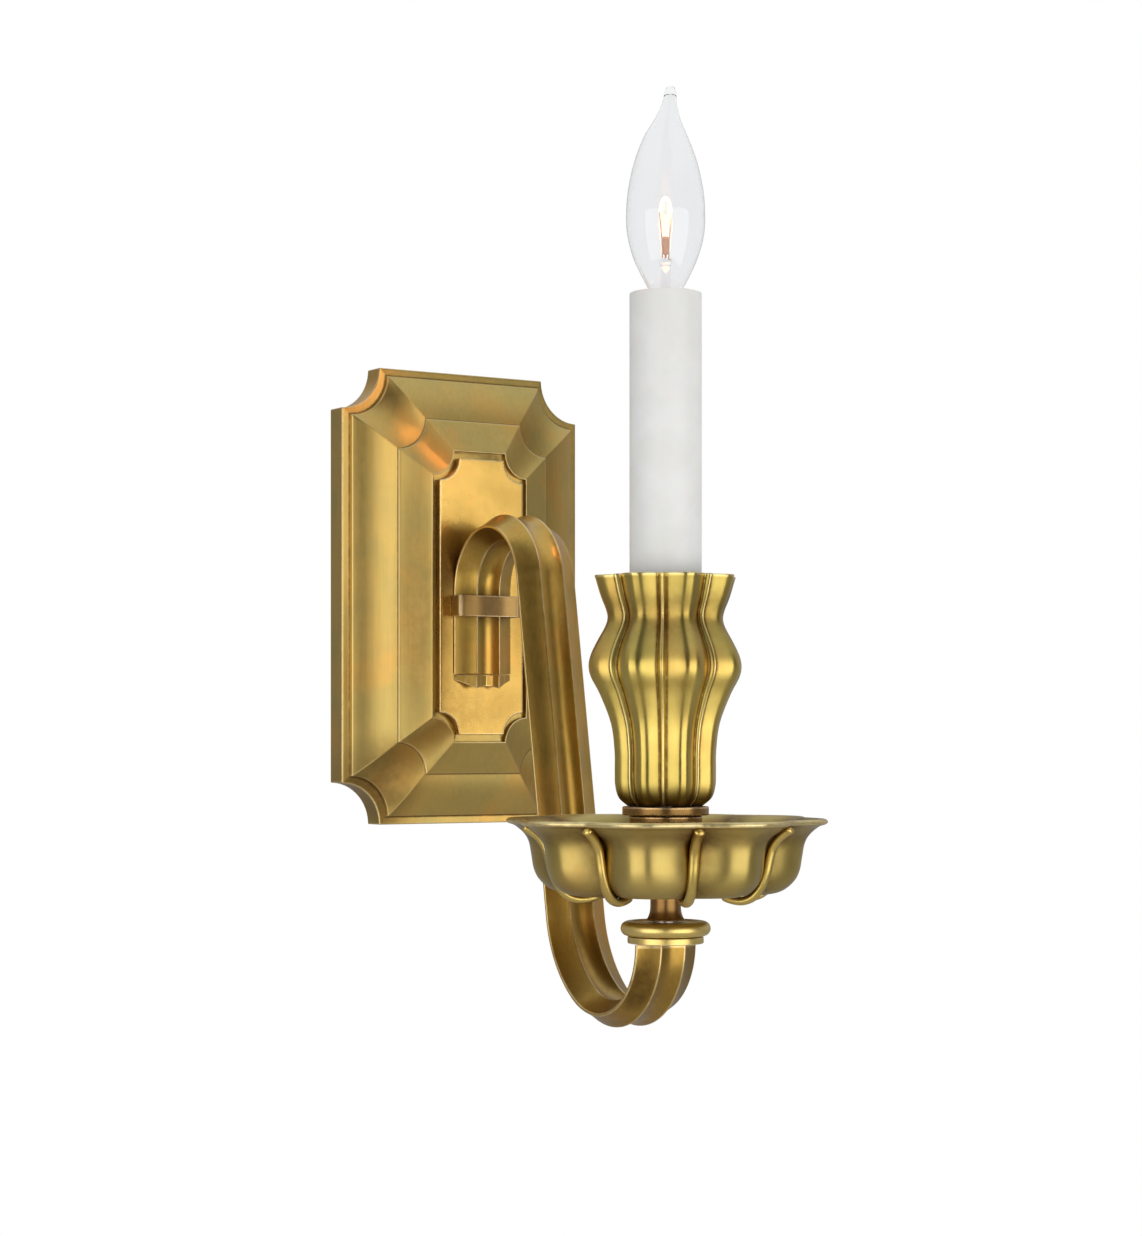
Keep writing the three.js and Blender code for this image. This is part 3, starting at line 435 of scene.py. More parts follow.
def brass_finishes():
    """What brass() is given for each finish. Places and sizes of painted shade patches are in millimetres.
    """
    tip = box_mm("arm_end_collar")[0][2]
    clasp = centre_mm("arm_band")
    spun = dict(crease=(-0.3, -1.2), grain=0.0003, speckle=0.05, spun=True)
    cast = dict(streak=0.10, wear=(0.9, 2.4), grain=0.0005, speckle=0.05)
    return {
        "antique": dict(
            name="antique_brass", olive=(0.465, 0.335, 0.102), gold=(0.54, 0.36, 0.102),
            warm=(0.61, 0.33, 0.082), dark=(0.12, 0.068, 0.02), lit=(0.68, 0.52, 0.25),
            roughness=0.33, wear=(0.35, 1.5),
            # painted shade on the left slope and on the lower-left scooped corner
            painted_shades=[((-31, -24, 0), (10, 40, 85), 0.40), ((-45, -14, -84), (24, 40, 28), 0.62)]),
        "arm": dict(
            name="arm_brass", olive=(0.46, 0.28, 0.056), gold=(0.57, 0.335, 0.07),
            warm=(0.64, 0.315, 0.062), dark=(0.10, 0.052, 0.013), lit=(0.72, 0.53, 0.23),
            roughness=0.29, streak=0.5, wear=(0.3, 1.2),
            # painted shade round the upturned end and inside it, near the top of the loop and on either
            # side of the clasp
            painted_shades=[((0, -150, tip - 25), (45, 95, 70), 0.42), ((-11, -176, tip - 20), (9, 26, 28), 0.85),
                    ((0, -40, 24), (30, 26, 14), 0.35), (clasp, (22, 30, 11), 0.75)]),
        "clasp": dict(
            name="clasp_brass", olive=(0.36, 0.215, 0.065), gold=(0.44, 0.27, 0.085),
            warm=(0.46, 0.24, 0.07), dark=(0.08, 0.04, 0.014), lit=(0.66, 0.48, 0.26),
            roughness=0.33, stretch=(0.04, 0.04, 1),
            # painted reflection and shade: dark upright stripes across the clasp
            painted_shades=[((-18, -30, 0), (6, 80, 80), 0.55), ((0.5, -30, 0), (9, 80, 80), 0.85),
                    ((17, -30, 0), (5, 80, 80), 0.60)]),
        "panel": dict(
            name="panel_brass", olive=(0.49, 0.305, 0.073), gold=(0.59, 0.365, 0.092),
            warm=(0.61, 0.325, 0.071), dark=(0.18, 0.095, 0.024), lit=(0.82, 0.62, 0.30),
            roughness=0.26, streak=0.12, grain=0.0003, speckle=0.06,
            # painted shadow and reflection of the arm's loop on the panel, a darker strip right of it, and
            # darker low down
            painted_shades=[((-13, -16, 14), (17, 30, 26), 1.0), ((21, -16, 0), (9, 30, 45), 0.35),
                    ((0, -16, -50), (30, 30, 20), 0.16)]),
        "bright": dict(
            name="bright_brass", olive=(0.45, 0.335, 0.098), gold=(0.54, 0.395, 0.12),
            warm=(0.48, 0.305, 0.088), dark=(0.12, 0.062, 0.02), lit=(0.84, 0.68, 0.34),
            roughness=0.37, streak=0.10, **spun),
        "cup": dict(
            name="cup_brass", olive=(0.48, 0.36, 0.088), gold=(0.59, 0.435, 0.112),
            warm=(0.51, 0.31, 0.078), dark=(0.12, 0.055, 0.009), lit=(0.84, 0.68, 0.31),
            roughness=0.29, streak=0.22, wear=(0.6, 1.8), **spun),
        "cord": dict(
            name="rib_brass", olive=(0.54, 0.395, 0.11), gold=(0.64, 0.46, 0.135),
            warm=(0.56, 0.35, 0.095), dark=(0.12, 0.062, 0.02), lit=(0.84, 0.68, 0.34),
            roughness=0.32, **cast),
        "ring": dict(
            name="disc_brass", olive=(0.66, 0.49, 0.16), gold=(0.76, 0.56, 0.19),
            warm=(0.66, 0.43, 0.14), dark=(0.14, 0.075, 0.025), lit=(0.86, 0.72, 0.40),
            roughness=0.34, **cast),
        "copper": dict(
            name="coppery_brass", olive=(0.26, 0.145, 0.045), gold=(0.33, 0.185, 0.06),
            warm=(0.35, 0.165, 0.052), dark=(0.09, 0.045, 0.017), lit=(0.66, 0.44, 0.22),
            roughness=0.27, streak=0.25, stretch=(0.03, 0.03, 1),
            # painted shade on the neck under the dish
            painted_shades=[(centre_mm("neck_spool"), (16, 16, 16), 0.35)]),
    }


def make_materials():
    made = {key: brass(**finish) for key, finish in brass_finishes().items()}
    return made | {
        "steel": plated_steel("zinc_steel", (0.56, 0.56, 0.55), 0.32),
        "wire": plated_steel("warm_wire", (0.30, 0.22, 0.17), 0.38),
        "green": plated_steel("green_screw", (0.05, 0.30, 0.10), 0.35),
        "white": sleeve_white(),
        "black": moulded("socket_black", (0.018, 0.017, 0.017), 0.38),
        "lead": moulded("lead_insulation", (0.03, 0.03, 0.032), 0.5),
        "glass": clear_glass("bulb_glass", 0.0),
        "stem": clear_glass("stem_glass", 0.05),
        "glow": hot_wire(),
    }


def plated_steel(name, colour, roughness):
    s = Shader(name)
    cloud = s.noise(220, 4, 0.65)
    tone = s.mix(s.ramp(cloud, 0.35, 0.65), tuple(c * 0.8 for c in colour), colour)
    worn = tuple(min(1, c * 1.5) for c in colour)
    tone = s.mix(s.ramp(s.stored("curve"), 0.5, 1.4, 0, 0.6), tone, worn)
    rough = s.ramp(cloud, 0.3, 0.7, roughness + 0.08, roughness - 0.05)
    return s.finish(Base_Color=tone, Metallic=1.0, Roughness=rough,
                    Normal=s.bump(s.noise(1400, 2, 0.5), FINE_BUMP))


def sleeve_white():
    s = Shader("candle_white")
    tone = s.mix(s.ramp(s.noise(60, 3, 0.5), 0.35, 0.65), (0.735, 0.725, 0.685), (0.775, 0.765, 0.73))
    rough = s.ramp(s.noise(300, 3, 0.6), 0.3, 0.7, 0.42, 0.54)
    height = s.noise(900, 3, 0.6, stretch=(1, 1, 0.15))
    return s.finish(Base_Color=tone, Roughness=rough, Subsurface_Weight=0.12, Subsurface_Scale=2 * MM,
                    Normal=s.bump(height, FINE_BUMP))


def moulded(name, colour, roughness):
    s = Shader(name)
    speck = s.noise(700, 3, 0.6)
    tone = s.mix(s.ramp(speck, 0.3, 0.7), colour, tuple(c * 1.7 for c in colour))
    rough = s.ramp(speck, 0.3, 0.7, roughness - 0.06, roughness + 0.08)
    return s.finish(Base_Color=tone, Roughness=rough, Normal=s.bump(speck, FINE_BUMP))


def clear_glass(name, roughness):
    s = Shader(name)
    height = s.noise(30, 2, 0.5, stretch=(1, 1, 0.4))
    return s.finish(Base_Color=(0.915, 0.92, 0.925), Roughness=roughness, Transmission_Weight=1.0,
                    IOR=1.45, Normal=s.bump(height, 0.05))


def hot_wire():
    s = Shader("glowing_filament")
    heat = s.ramp(s.noise(900, 2, 0.5), 0.3, 0.7, 4.0, 8.0)
    return s.finish(Base_Color=(0.9, 0.6, 0.3), Emission_Color=(1.0, 0.50, 0.16),
                    Emission_Strength=heat, Roughness=0.6)


# ---------------------------------------- backplate and panel

FRAME_WIDTH = 36.9  # outer edge to inner ridge
WELL_THICKNESS = 2.6
SCOOP = {"edge": 18.7, "ridge": 10.9, "panel": 9.8}
CUSP = 0.55  # rounding of a scooped corner's points
CUSP_END = 1.35  # keeps the flats beside that rounding shading flat
ARC_STEPS = 14


def scooped_outline(half_width, half_height, scoop):
    """Rectangle with a concave quarter circle at each corner, its points eased, as (x, z) pairs."""
    out = []
    for corner, (side_x, side_z) in enumerate(((1, 1), (-1, 1), (-1, -1), (1, -1))):
        centre = np.array((side_x * half_width, side_z * half_height))
        start = math.radians((corner - 1) * 90)

        def on_arc(distance, centre=centre, start=start):
            angle = start - distance / scoop
            return centre + scoop * np.array((math.cos(angle), math.sin(angle)))

        length = scoop * math.pi / 2
        first, last = on_arc(0), on_arc(length)
        into, away = (first - centre) / scoop, (last - centre) / scoop
        eased_in = quadratic(first + into * CUSP, first, on_arc(CUSP), 4)
        middle = [on_arc(d) for d in np.linspace(CUSP_END, length - CUSP_END, ARC_STEPS)]
        eased_out = quadratic(on_arc(length - CUSP), last, last + away * CUSP, 4)
        out += [first + into * CUSP_END, *eased_in, *middle, *eased_out, last + away * CUSP_END]
    return out


def plate_ring(inset, reach, half_width, half_height, scoop):
    outline = scooped_outline(half_width - inset, half_height - inset, scoop)
    return [(x, -reach, z) for x, z in outline]


def build_backplate(material):
    """Pressed shell, skinned from (inset, reach) pairs: down the inside, then up over the front."""
    low, high = box_mm("backplate")
    half_width, half_height, ridge = high[0], high[2], -low[1]
    well = -box_mm("centre_panel")[1][1] - GAP
    band = list(quadratic((3.9, 12.9), (11.4, 18.0), (22.5, 20.8), 12))
    front = [(0, 0), (0, 10.7), (3.4, 11.0), *band, (22.8, 21.5), (FRAME_WIDTH, ridge),
             (FRAME_WIDTH + 0.1, well)]
    radii = [0, 0.5, 0.25, 0.45, *[0] * (len(band) - 2), 0.25, 0.35, 0.5, 0]
    back = [(34.4, well - WELL_THICKNESS), (22.5, 17.7), (4.8, 8.6), (2.8, 7.6), (2.8, 0)]
    rings = []
    for inset, reach in [*back, *rounded(front, radii)]:
        scoop = SCOOP["edge"] - (SCOOP["edge"] - SCOOP["ridge"]) * inset / FRAME_WIDTH
        rings.append(plate_ring(inset, reach, half_width, half_height, scoop))
    obj = grid_object("backplate_finish", rings)
    drill(obj, "arm_screw_upper", 2.4)
    drill(obj, "arm_screw_lower", 2.4)
    drill(obj, "wire_bushing", 5.7)
    drill(obj, "set_screw_top", 2.3, upright=True)
    drill(obj, "set_screw_bottom", 2.3, upright=True)
    return settle(obj, material, "sconce", ["backplate"])


HOLE = {"past_end": 3, "set_screw_out": 4, "set_screw_half": 6, "sides": 32}


def drill(obj, node, radius, upright=False):
    """Cuts a round clearance hole along the length of a screw or bush."""
    low, high = box_mm(node)
    middle, half = (low + high) / 2, (high - low).max() / 2 + HOLE["past_end"]
    side, along, up = np.eye(3)
    if upright:  # a set screw's hole goes through the plate's outer side only
        along, half = up, HOLE["set_screw_half"]
        middle = middle + up * math.copysign(HOLE["set_screw_out"], middle[2])
    other = np.cross(along, side)
    rings = [[middle + along * end + radius * (math.cos(a) * side + math.sin(a) * other)
              for a in whole_turn(HOLE["sides"])] for end in (-half, half)]
    tool = grid_object("drill_tool", rings)
    hole = obj.modifiers.new("hole", "BOOLEAN")
    hole.operation = "DIFFERENCE"
    hole.solver = "EXACT"
    hole.object = tool
    settle_modifiers(obj)
    bpy.data.objects.remove(tool)


def build_panel(material):
    low, high = box_mm("centre_panel")
    half_width, half_height = high[0], high[2]
    back, face = -high[1], -low[1]
    section = rounded([(0, back), (0, face), (6, face)], [0, 0.45, 0], steps=5)
    rings = [plate_ring(*pair, half_width, half_height, SCOOP["panel"]) for pair in section]
    obj = grid_object("panel_finish", rings)
    return settle(obj, material, "sconce", ["centre_panel"])


# ---------------------------------------- arm

BAR = {"half_width": 14.5, "edge": 0.5, "ridge_at": 5.8, "ridge": 5.7, "flute": 1.5, "hollow": 0.35}
BAR_ROUNDING = {"edge": 0.3, "ridge": 0.45}
LOOP_FOOT = -60  # the arm's lower bend is below this height, its loop above
ARM = {"loop_start": 2.2, "loop_radius": 26.9, "lean": 9.45, "leg": 147, "bend_radius": 49,
       "bend_sweep": 45.4, "tip_radius": 29.95}


def bar_face():
    """Front face of the bar's section, from one side edge to the other, as (across, up) pairs and radii."""
    w, e, x, r = BAR["half_width"], BAR["edge"], BAR["ridge_at"], BAR["ridge"]
    middle = (w + x) / 2, (e + r) / 2 - 2 * BAR["hollow"]
    band = list(quadratic((w, e), middle, (x, r), 6))
    flute = [(s * x, r - BAR["flute"] * (1 - s**2)) for s in np.linspace(1, -1, 13)]
    other = [(-across, up) for across, up in band[::-1]]
    points = [*band, *flute[1:-1], *other]
    radii = [0] * len(points)
    radii[0] = radii[-1] = BAR_ROUNDING["edge"]
    radii[len(band) - 1] = radii[-len(band)] = BAR_ROUNDING["ridge"]
    return points, radii


def bar_section():
    points, radii = bar_face()
    under = [(across, -up) for across, up in points[::-1]]
    return rounded([*points, *under], [*radii, *radii[::-1]], closed=True, guard=0.5)


def arm_stations(back, foot, end):
    """Points and wall-side normals along the bar's mid-plane, in the (reach, height) plane."""
    heading, at = math.pi / 2, np.array((back, foot))
    stations = []

    def left():
        return np.array((-math.sin(heading), math.cos(heading)))

    def run(length):
        nonlocal at
        at = at + length * np.array((math.cos(heading), math.sin(heading)))
        stations.append((at, left()))

    def bend(radius, sweep, steps):
        nonlocal at, heading
        signed = math.copysign(radius, sweep)
        centre = at + left() * signed
        for _ in range(steps):
            heading += sweep / steps
            at = centre - left() * signed
            stations.append((at, left()))

    stations.append((at, left()))
    run(ARM["loop_start"] - foot)
    bend(ARM["loop_radius"], -math.radians(180 - ARM["lean"]), 56)
    run(ARM["leg"])
    bend(ARM["bend_radius"], math.radians(ARM["bend_sweep"]), 24)
    bend(ARM["tip_radius"], math.pi / 2 - heading, 44)
    run(end - at[1])
    return stations


def build_arm(material):
    """The bar along its route. Where it lies on the panel, its back is cut flat."""
    back = -box_mm("arm")[1][1]
    foot = box_mm("arm_end_cap")[1][2] + GAP
    end = box_mm("arm_end_collar")[0][2] - GAP
    section = bar_section()
    rings = []
    for at, normal in arm_stations(back, foot, end):
        ring = []
        for across, up in section:
            reach, height = at + normal * up
            flat = reach < back and height > LOOP_FOOT
            ring.append((across, -(back if flat else reach), height))
        rings.append(ring)
    obj = grid_object("arm_finish", rings)
    return settle(obj, material, "sconce", ["arm"], angle=50)


# ---------------------------------------- dish, neck and rings

AXIS = [float(v) for v in centre_mm("candle_sleeve")[:2]]  # upright, through all above the arm's tip
RIM = float(box_mm("seat_ring_lower")[0][2])  # the dish's heights are counted from here
LOBES = 8
HALF = 180 / LOBES  # degrees from a lobe's middle to its edge
BORE = 5.2  # hole for the centre tube
DISH = {"wall": 1.9, "floor": -27.4, "valley": 0.165, "rim_valley": 0.10, "turn": 1.2, "columns": 28}
DISH_SIDE = [(64.6, 1.5), (65.1, 0.9), (65.0, 0.2), (64.2, -0.4), (61.5, -1.4), (57.9, -4.5), (55.9, -8.1),
             (54.9, -13.4), (53.9, -18.8), (51.6, -23.2), (46.8, -27.0), (40.3, -28.5), (32, -28.7)]


def around(angle, radius, height):
    a = math.radians(angle)
    return AXIS[0] + radius * math.cos(a), AXIS[1] + radius * math.sin(a), height


def lobe_columns(columns):
    """Angle of each column of points round the axis, and its angle from the lobe's nearer edge."""
    for k in range(LOBES * columns):
        offset = (k % columns) * 2 * HALF / columns
        yield (k // columns) * 2 * HALF + offset, min(offset, 2 * HALF - offset)


def lobed_rings(pairs, turn, share, columns):
    """Rings round the axis. share(radius, degrees from a lobe's edge) is the part of the radius kept."""
    return [[around(angle + turn, radius * share(radius, from_edge), height)
             for angle, from_edge in lobe_columns(columns)] for radius, height in pairs]


def store_lobe_shade(obj, pairs, columns, rule):
    """Stores how much painted shade each vertex of lobed rings gets, from rule(radius, height, degrees from
    an edge).
    """
    values = [min(1.0, rule(radius, height, from_edge))
              for radius, height in pairs for _, from_edge in lobe_columns(columns)]
    obj.data.attributes.new("painted_shade", "FLOAT", "POINT").data.foreach_set("value", values)


def bulge(valley, from_crest, half):
    """Part of the radius kept across a lobe: midway between an arc and a wave, both down by the
    valley's share at the lobe's edge."""
    low = 1 - valley
    centre = (1 - low**2) / (2 * (1 - low * math.cos(math.radians(half))))
    angle = math.radians(from_crest)
    arc = centre * math.cos(angle) + math.sqrt((1 - centre) ** 2 - (centre * math.sin(angle)) ** 2)
    wave = 1 - valley * (1 - math.cos(math.pi * from_crest / half)) / 2
    return (arc + wave) / 2


def dish_share(radius, from_rib):
    valley = DISH["valley"] + (DISH["rim_valley"] - DISH["valley"]) * smoothstep(radius, 55, 61)
    return bulge(valley * smoothstep(radius, 26, 46), HALF - from_rib, HALF)


def dish_shade(radius, height, from_rib):
    """Painted shade: dark beside the ribs and, less so, under the rim and under the dish."""
    beside_rib = math.exp(-((math.radians(from_rib) * radius / 7.2) ** 2)) * smoothstep(radius, 20, 45)
    under_rim = math.exp(-(((height + 5) / 4) ** 2))
    underside = smoothstep(height, -21, -28)
    return 0.72 * beside_rib + 0.46 * under_rim + 0.30 * underside


def build_dish(material):
    bottom, floor, hub = DISH_SIDE[-1][1], DISH["floor"], 24
    outside = spline(DISH_SIDE, 6)[::-1]
    inside = [(r - DISH["wall"], max(z + DISH["wall"], floor)) for r, z in spline(DISH_SIDE[4:], 4)]
    rim = DISH_SIDE[0][0]
    pairs = [(BORE, bottom), (hub, bottom), *outside, (rim - 0.7, 1.8), (rim - 1.8, 1.4), *inside,
             (hub, floor), (BORE, floor)]
    rings = lobed_rings([(r, RIM + z) for r, z in pairs], HALF + DISH["turn"], dish_share, DISH["columns"])
    obj = grid_object("drip_dish_finish", rings, loop=True)
    store_lobe_shade(obj, pairs, DISH["columns"], dish_shade)
    return settle(obj, material, "sconce", ["drip_dish"], angle=60)


RIB = {"half_width": 2.05, "half_depth": 1.75, "ball": 0.12, "groove": 0.32, "groove_width": 0.55,
       "sides": 24}
RIB_PATH = [(58.0, -1.2), (55.4, -2.8), (52.0, -5.4), (49.4, -9.0), (47.9, -13.5), (46.5, -19.0),
            (44.0, -24.6), (40.4, -28.6), (36.2, -30.2), (32.2, -30.2), (28.8, -29.4), (26.6, -28.6)]


def rounded_end(past, length):
    """1 up to where an end begins, then a quarter circle down to 0."""
    return math.sqrt(max(0.0, 1 - max(0.0, past / length) ** 2))


def rib_size(share):
    """A ball at the rim, an even cord, and a rounded toe. The share runs from 0 to 1 along the rib."""
    toe = rounded_end(share - 0.93, 0.075)
    head = rounded_end(0.03 - share, 0.032)
    return (1 + RIB["ball"] * math.exp(-((share / 0.07) ** 2))) * max(0.12, min(toe, head))


def build_rib(index, material):
    """Grooved cord in a valley of the dish."""
    angle = index * 2 * HALF + HALF + DISH["turn"]
    a = math.radians(angle)
    path = spline(RIB_PATH, 6)
    count = len(path)
    rings = []
    for k, point in enumerate(path):
        ahead = path[min(k + 1, count - 1)] - path[max(k - 1, 0)]
        ahead /= np.linalg.norm(ahead)
        inward = np.array((ahead[1], -ahead[0]))
        share = k / (count - 1)
        size = rib_size(share)
        ring = []
        for t in whole_turn(RIB["sides"]):
            across = RIB["half_width"] * size * math.cos(t)
            out = RIB["half_depth"] * -math.sin(t)
            if out > 0:
                groove = RIB["groove"] * math.exp(-((across / RIB["groove_width"]) ** 2))
                out -= groove * smoothstep(share, 0.05, 0.12)
            out *= size
            r, z = point + inward * out
            x, y, height = around(angle, r, RIM + z)
            ring.append((x - across * math.sin(a), y + across * math.cos(a), height))
        rings.append(ring)
    obj = grid_object(f"dish_rib_{index}", rings)
    return settle(obj, material, "sconce", [], angle=60)


def eased_turned(name, profile, radii, segments=96):
    pairs = rounded(profile, radii, closed=True, steps=5, guard=0.4)
    return turned_object(name, pairs, AXIS, segments)


def radius_foot_top(node):
    """Outer radius and both ends of a round CAD node."""
    low, high = box_mm(node)
    return (high[0] - low[0]) / 2, low[2], high[2]


def build_ring(node, name, ease, material):
    """Flat ring with eased outer edges."""
    radius, foot, top = radius_foot_top(node)
    profile = [(BORE, foot), (radius, foot), (radius, top), (BORE, top)]
    obj = eased_turned(name, profile, [0, ease, ease, 0])
    return settle(obj, material, "sconce", [node])


def build_disc(material):
    radius, foot, top = radius_foot_top("arm_end_disc")
    roll, step = (top - foot) / 2, 0.5
    inner = radius - roll
    arc = [(inner + roll * math.cos(a), foot + roll + roll * math.sin(a))
           for a in np.linspace(-math.pi / 2, math.pi / 2, 18)]
    pairs = [(BORE, foot), (inner - 2, foot), *arc, (inner - 1.2, top), (inner - 2.2, top - step),
             (BORE, top - step)]
    obj = turned_object("disc_finish", pairs, AXIS)
    return settle(obj, material, "sconce", ["arm_end_disc"])


def build_neck(material):
    _, foot, top = radius_foot_top("neck_spool")
    top += 1.2  # meets the dish's finish, which is higher than its CAD node there
    side = spline([(7.8, foot + 0.3), (7.1, foot + 1.2), (6.4, foot + 3.2), (6.15, foot + 5.5),
                   (6.2, top - 1), (6.5, top)], 6)
    obj = turned_object("neck_finish", [(BORE, foot), (7.5, foot), *side, (BORE, top)], AXIS)
    return settle(obj, material, "sconce", ["neck_spool"])


def build_spacer(material):
    _, foot, top = radius_foot_top("dish_spacer")
    side = spline([(13.5, foot + 2.5), (11.2, foot + 4.2), (9.2, foot + 7), (8.4, (foot + top) / 2),
                   (9.2, top - 6), (11.4, top - 3.2), (12.6, top - 1.8)], 6)
    pairs = [(BORE, foot), (13.1, foot), (13.5, foot + 0.4), *side, (12.6, top), (BORE, top)]
    obj = turned_object("spacer_finish", pairs, AXIS)
    return settle(obj, material, "sconce", ["dish_spacer"])


# ---------------------------------------- cup

CUP = {"turn": 7.35, "wall": 1.6, "floor": 2.2, "trough": 0.862, "bead": 0.062, "columns": 40}
CUP_SIDE = [(16, 0), (19.6, 3.2), (21.1, 8), (21.3, 14), (21.4, 22), (22.9, 33), (27.4, 44.4),
            (31.2, 51.4), (32.2, 56), (31.2, 60.6), (28.5, 66), (25.3, 71.6), (24.3, 75.2),
            (25.0, 78.6), (27.2, 84), (29.7, 92.1)]
GROOVE = 4.4  # degrees from a bead's middle to the groove beside it


def cup_share(radius, from_bead):
    """Narrow round bead at a sector's edge, then a broad lobe. The bore stays round."""
    if radius < BORE + 1:
        return 1.0
    if from_bead < GROOVE:
        return CUP["trough"] + CUP["bead"] * (1 + math.cos(math.pi * from_bead / GROOVE)) / 2
    return bulge(1 - CUP["trough"], HALF - from_bead, HALF - GROOVE)


def cup_shade(radius, height, from_bead):
    """Painted shade: dark at the foot and, less so, along both sides of each bead and round the narrow
    waist.
    """
    beside_bead = math.exp(-((math.radians(from_bead - GROOVE) * radius / 0.9) ** 2))
    above_rim = height - RIM
    foot = smoothstep(above_rim, 15, 8.5)
    waist = math.exp(-(((above_rim - 82) / 12) ** 2))
    return 0.26 * beside_bead + 0.80 * foot + (0.50 + 0.35 * beside_bead) * waist


def build_cup(material):
    low, high = box_mm("candle_cup")
    under, scale = low[2], (high[2] - low[2]) / CUP_SIDE[-1][1]
    side = spline(CUP_SIDE, 5)
    *outside, mouth = [(r, under + h * scale) for r, h in side]
    inside = [(r - CUP["wall"], min(under + h * scale, high[2] - 0.4)) for r, h in side[::-2] if h > 6]
    pairs = [(BORE, under), (14, under), *outside, (mouth[0], mouth[1] - 0.35),
             (mouth[0] - 0.25, mouth[1]), (mouth[0] - 0.9, mouth[1]), *inside,
             (17.4, under + 4.2), (14, under + CUP["floor"]), (BORE, under + CUP["floor"])]
    rings = lobed_rings(pairs, CUP["turn"], cup_share, CUP["columns"])
    obj = grid_object("candle_cup_finish", rings, loop=True)
    store_lobe_shade(obj, pairs, CUP["columns"], cup_shade)
    return settle(obj, material, "sconce", ["candle_cup"], angle=60)


# ---------------------------------------- sleeve and bulb


def build_sleeve(material):
    outer, foot, top = radius_foot_top("candle_sleeve")
    inner = outer - 1.7
    profile = [(inner, foot), (outer, foot), (outer, top), (inner, top)]
    obj = eased_turned("sleeve_finish", profile, [0.2, 0.3, 0.5, 0.4], 128)
    return settle(obj, material, "sconce", ["candle_sleeve"])


BULB_SIDE = [(4.5, 96), (4.5, 109), (6.4, 115.9), (10.1, 123.3), (13.2, 130.4), (15.4, 139),
             (15.85, 147.5), (15.1, 157), (12.7, 168), (9.1, 177.7), (5.2, 185.4), (3.0, 191.6),
             (2.35, 196.0), (1.5, 198.2), (0, 198.7)]
BULB = {"glass": 0.55, "solid_tip": 3.6}
TIP = {"shift": 2.0, "turn": -32, "from": 176}  # the flame tip leans a little to one side


def build_bulb(material):
    top = box_mm("bulb_glass")[1][2]
    lift = top - BULB_SIDE[-1][1]
    side = [(max(0.0, r), z + lift) for r, z in spline(BULB_SIDE, 6)]
    inner = [(max(0.0, r - BULB["glass"]), z) for r, z in side if z < top - BULB["solid_tip"]][::-1]
    width, height = inner[0]
    cavity = [(0.0, height + 0.9), (width * 0.6, height + 0.6), *inner]
    obj = turned_object("bulb_glass_finish", [*side, *cavity], (0, 0))
    turn = math.radians(TIP["turn"])
    for vertex in obj.data.vertices:
        shift = TIP["shift"] * smoothstep(vertex.co.z / MM, TIP["from"], top)
        vertex.co.x += (shift * math.cos(turn) + AXIS[0]) * MM
        vertex.co.y += (shift * math.sin(turn) + AXIS[1]) * MM
    return settle(obj, material, "bulb", ["bulb_glass"], angle=70)


def build_stem(material):
    _, foot, top = radius_foot_top("bulb_stem")
    side = spline([(3.6, foot), (3.2, foot + 10), (2.3, foot + 16), (2.0, top - 6), (2.1, top - 3.2),
                   (2.6, top - 1.6), (2.4, top - 0.5), (1.4, top)], 5)
    obj = turned_object("stem_finish", [(0.0, foot), *side, (0.0, top)], AXIS, 48)
    return settle(obj, material, "bulb", ["bulb_stem"])


STEM_PLATE = {"half_width": 1.3, "foot": 1.5, "top": 8.6, "stalk": 0.3, "half_depth": 0.3}


def build_stem_plate(material):
    """Small flat plate on a stalk, between the lead wires."""
    start = box_mm("bulb_stem")[1][2] + GAP / 2
    wide, thin = STEM_PLATE["half_width"], STEM_PLATE["stalk"]
    foot, top = start + STEM_PLATE["foot"], start + STEM_PLATE["top"]
    outline = [(-thin, start), (thin, start), (thin, foot), (wide, foot), (wide, top), (-wide, top),
               (-wide, foot), (-thin, foot)]
    section = rounded(outline, [0.1, 0.1, 0.1, 0.3, 0.3, 0.3, 0.3, 0.1], closed=True)
    rings = [[(AXIS[0] + x, AXIS[1] + reach, z) for x, z in section]
             for reach in (-STEM_PLATE["half_depth"], STEM_PLATE["half_depth"])]
    obj = grid_object("stem_plate", rings)
    return settle(obj, material, "bulb", [])


FILAMENT_FOOT = 4.5  # how far the lead wires reach above the CAD filament's foot
FILAMENT = {"half_width": 2.3, "below_top": 0.7, "coil": 0.62, "wire": 0.17, "turns": 26, "steps": 12}
LEAD_RADIUS = 0.24


def tube(name, path, radius, sides=10):
    """Round tube along a list of 3-D points."""
    path = np.asarray(path, float)
    rings = []
    _, forward, up = np.eye(3)
    for k in range(len(path)):
        ahead = path[min(k + 1, len(path) - 1)] - path[max(k - 1, 0)]
        ahead /= np.linalg.norm(ahead)
        side = np.cross(ahead, up)
        if np.linalg.norm(side) < 0.1:  # the path is almost upright here
            side = np.cross(ahead, forward)
        side /= np.linalg.norm(side)
        other = np.cross(side, ahead)
        rings.append([path[k] + radius * (math.cos(t) * side + math.sin(t) * other)
                      for t in whole_turn(sides)])
    return grid_object(name, rings)


def build_lead(side, material):
    node = f"lead_wire_{'right' if side > 0 else 'left'}"
    _, foot, top = radius_foot_top(node)
    tip = box_mm("filament")[0][2] + FILAMENT_FOOT
    path = spline([(AXIS[0] + side * away, AXIS[1], height)
                   for away, height in ((1.5, foot), (1.7, foot + 5), (2.4, top), (2.9, tip))], 8)
    obj = tube(f"{node}_finish", path, LEAD_RADIUS)
    return settle(obj, material, "bulb", [node])


